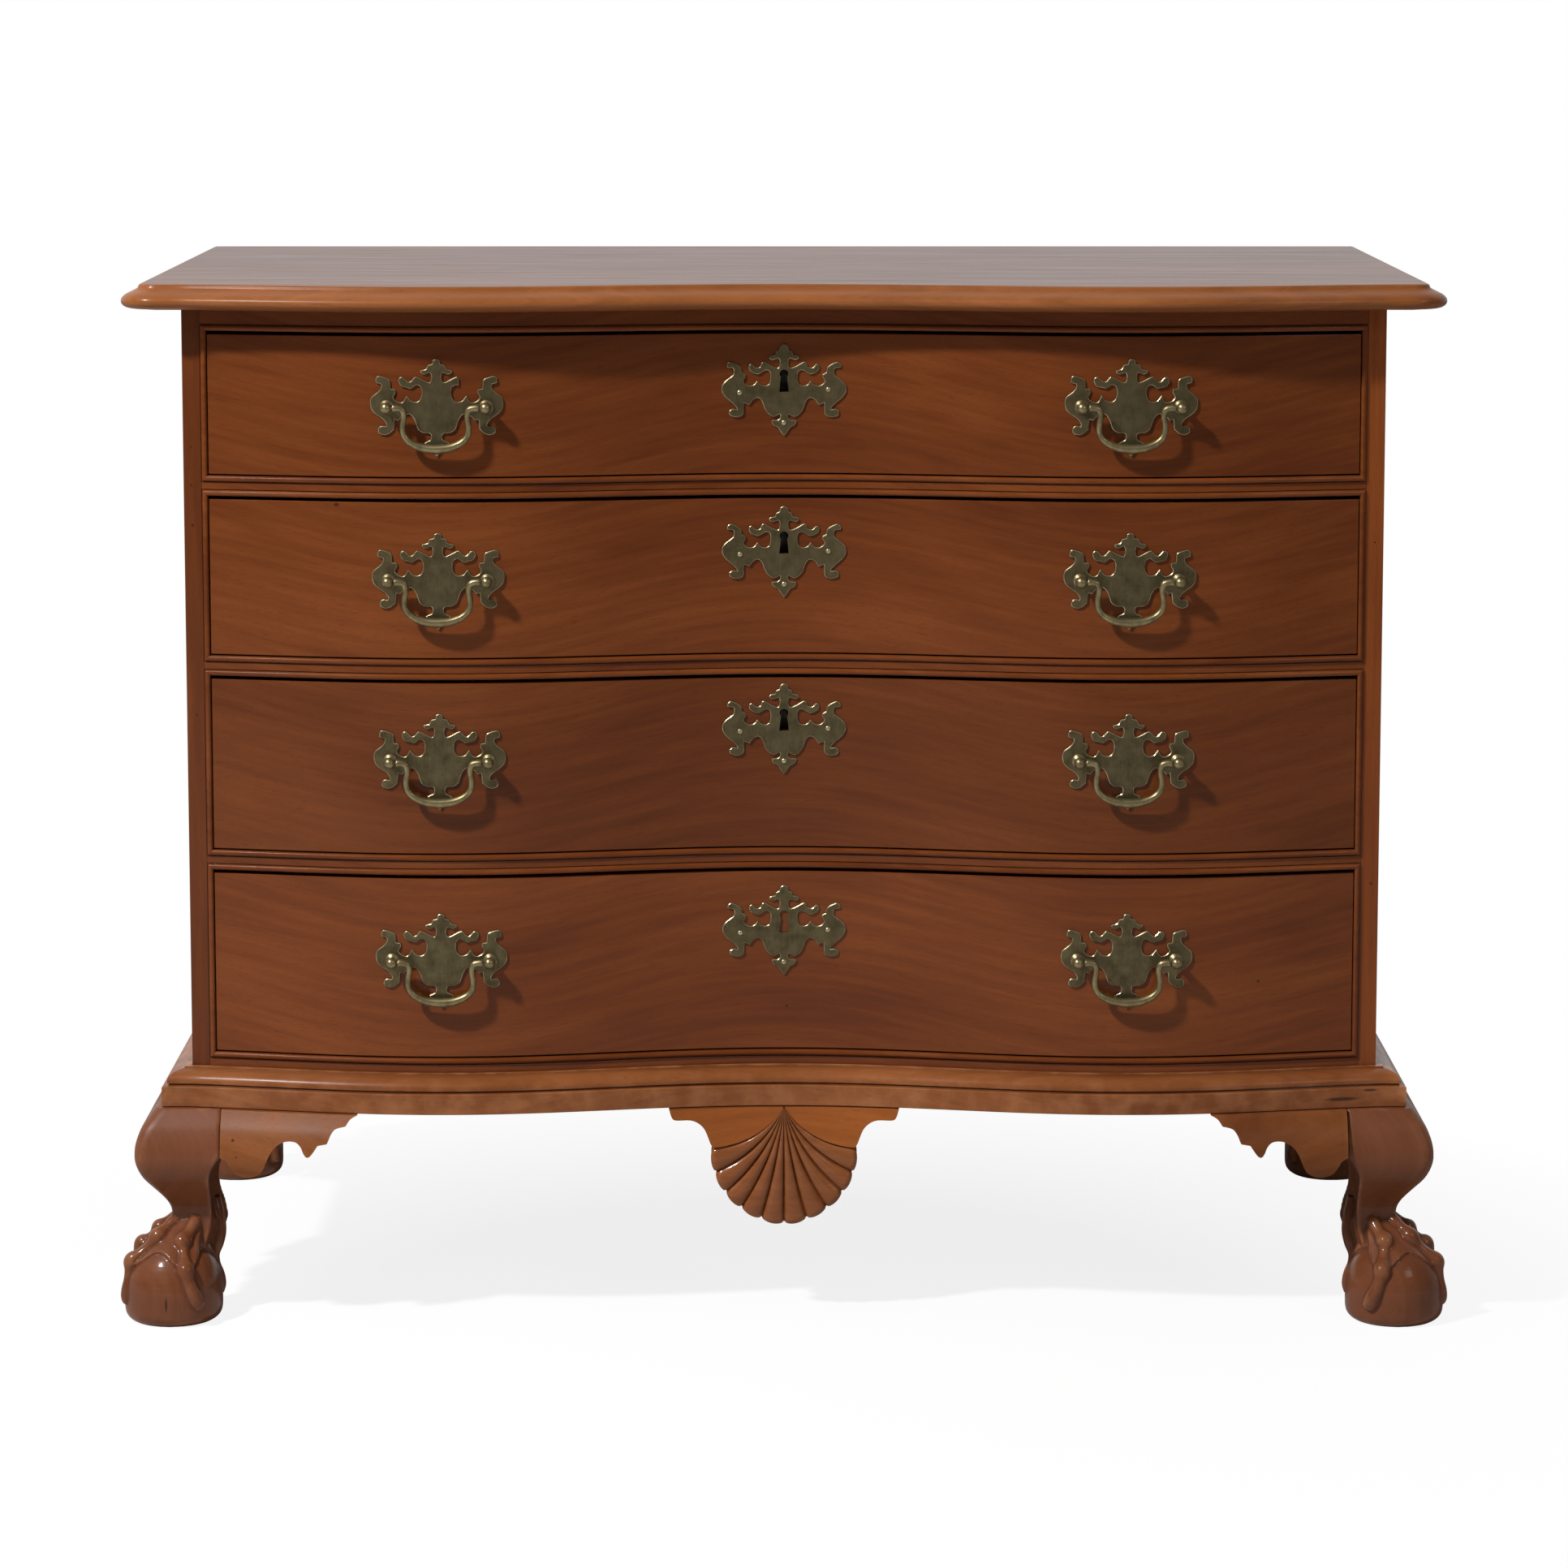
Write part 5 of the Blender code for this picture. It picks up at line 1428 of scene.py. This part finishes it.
def make_escutcheon(number):
    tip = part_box(f"escutcheon_{number}")[1].z
    half = [(u, -v) for u, v in ESCUTCHEON_HALF]
    outline = [(u, tip + v) for u, v in whole_outline(half, half)]
    plate = curved_plate(f"keyplate_{number}", outline, ESCUTCHEON_THICKNESS)
    cut(plate, keyhole(tip - KEYHOLE_DROP, CENTRE_Y - CUT_PAST, CENTRE_Y + CUT_PAST))
    finish(plate, f"drawer_{number}", BRASS_AGED, [f"escutcheon_{number}"])
    nails = []
    for u, drop in ESCUTCHEON_NAILS:
        face = front_y(u) - FIT - ESCUTCHEON_THICKNESS
        rings = [(face + behind, radius) for behind, radius in NAIL_SHANK]
        for k in range(1, NAIL_STEPS):
            turn = math.pi / 2 * k / NAIL_STEPS
            rings.append((face - NAIL_CROWN * math.sin(turn), NAIL_HEAD * math.cos(turn)))
        nails.append(turned("nail", rings, u, tip + drop, NAIL_SIDES))
    finish(join(f"keyplate_nails_{number}", nails), f"drawer_{number}", BRASS_RUBBED)


# Locks
def make_lock(number):
    body = f"drawer_{number}"
    low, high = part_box(f"lock_{number}")
    case = board("case", low, high, LOCK_EASE)
    bolt_low, bolt_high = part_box(f"lock_bolt_{number}")
    room = Vector((FIT, FIT, FIT))
    past = Vector((FIT, FIT, CUT_PAST))
    cut(case, board("slot", bolt_low - room, bolt_high + past, ease=0.0002))
    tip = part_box(f"escutcheon_{number}")[1].z
    cut(case, keyhole(tip - KEYHOLE_DROP, low.y - FIT, high.y - LOCK_BACK))
    rings = [(high.y + proud, radius) for proud, radius in SCREW_RINGS]
    pieces = [case]
    for sign in (-1, 1):
        x = sign * (high.x - SCREW_INSET)
        for level in (low.z + SCREW_ABOVE_FOOT, high.z - SCREW_BELOW_HEAD):
            screw = turned("screw", rings, x, level, SCREW_SIDES)
            slit_low = (x - SLIT_HALF_LENGTH, high.y + SLIT_FLOOR, level - SLIT_HALF_WIDTH)
            slit_high = (x + SLIT_HALF_LENGTH, high.y + SLIT_HEIGHT, level + SLIT_HALF_WIDTH)
            cut(screw, board("slit", slit_low, slit_high, ease=0.0001))
            pieces.append(screw)
    finish(join(f"lock_case_{number}", pieces), body, IRON, [f"lock_{number}"])
    bolt = board(f"bolt_{number}", bolt_low, bolt_high, LOCK_EASE)
    finish(bolt, f"lock_bolt_{number}", IRON, [f"lock_bolt_{number}"])


def dress_kept_nodes():
    """The dustboards keep their own shape and get a better finish."""
    for number in BLADES:
        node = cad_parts[f"dustboard_{number}"]
        look = wood(f"dust_poplar_{number}", POPLAR_TONES, "X", board_shift(100 + number), 0.66)
        node.data.materials.clear()
        node.data.materials.append(look)


# Stage, light and camera
def make_stage():
    """A pale floor, seen almost white with a soft shadow near the chest and plain white further off."""
    deselect()
    bpy.ops.mesh.primitive_plane_add(size=FLOOR_SIZE)
    floor = bpy.context.object
    floor.name = "floor"
    look = Look(bpy.data.materials.new("pale_floor"))
    look.nodes.remove(look.shader)

    def matt(level):
        return look.node("ShaderNodeBsdfDiffuse", Color=(level, level, level, 1)).outputs[0]

    def glow(strength):
        return look.node("ShaderNodeEmission", Color=WHITE, Strength=strength).outputs[0]

    near = look.node("ShaderNodeAddShader", matt(FLOOR_SHADED), glow(FLOOR_GLOW)).outputs[0]
    distance = look.node("ShaderNodeVectorMath", look.place, FLOOR_MIDDLE, operation="DISTANCE")
    fade = look.spread(distance.outputs["Value"], *FLOOR_FADE)
    seen = look.node("ShaderNodeMixShader", fade, near, glow(1.0)).outputs[0]
    by_camera = look.node("ShaderNodeLightPath").outputs["Is Camera Ray"]
    surface = look.node("ShaderNodeMixShader", by_camera, matt(FLOOR_PALE), seen).outputs[0]
    look.link(surface, look.nodes["Material Output"].inputs["Surface"])
    floor.data.materials.append(look.owner)


def make_world():
    """An even dim fill, seen as white by the camera and as a white backdrop in the polish."""
    world = bpy.data.worlds.new("studio")
    bpy.context.scene.world = world
    look = Look(world)
    fill = look.nodes["Background"]
    look.link(WHITE, fill.inputs["Color"])
    look.link(FILL, fill.inputs["Strength"])
    white = look.node("ShaderNodeBackground", Color=WHITE, Strength=1.0)
    ray = look.node("ShaderNodeLightPath").outputs
    direction = look.node("ShaderNodeTexCoord").outputs["Generated"]
    backward = look.node("ShaderNodeSeparateXYZ", direction).outputs["Y"]
    mirrored = look.times(ray["Is Glossy Ray"], look.spread(backward, *BACKDROP))
    seen = look.maths("MAXIMUM", ray["Is Camera Ray"], mirrored)
    blend = look.node("ShaderNodeMixShader", seen, fill.outputs[0], white.outputs[0])
    look.link(blend.outputs[0], look.nodes["World Output"].inputs["Surface"])


def add_lamp(name, place, size, power):
    deselect()
    bpy.ops.object.light_add(type="AREA", location=place)
    lamp = bpy.context.object
    lamp.name = name
    lamp.data.size = size
    lamp.data.energy = power
    lamp.rotation_euler = (Vector(LAMP_AIM) - Vector(place)).to_track_quat("-Z", "Y").to_euler()


def make_camera():
    bpy.ops.object.camera_add(location=CAMERA_PLACE, rotation=(CAMERA_PITCH, 0, 0))
    camera = bpy.context.object
    camera.name = "camera"
    camera.data.lens = CAMERA_LENS
    camera.data.sensor_width = CAMERA_SENSOR
    camera.data.shift_y = CAMERA_SHIFT
    bpy.context.scene.camera = camera


# Everything in its order
bpy.context.scene.view_settings.view_transform = "Standard"
deselect()
make_camera()
make_stage()
make_world()
add_lamp("key_lamp", *KEY_LAMP)
add_lamp("side_lamp", *SIDE_LAMP)
make_top()
make_sides()
make_rails()
make_base_moulding()
make_back()
make_feet()
make_brackets()
make_pendant()
for drawer in DRAWERS:
    make_bead_frame(drawer)
    make_front(drawer)
    make_box(drawer)
    make_pulls(drawer)
    make_escutcheon(drawer)
for drawer in LOCKED:
    make_lock(drawer)
dress_kept_nodes()
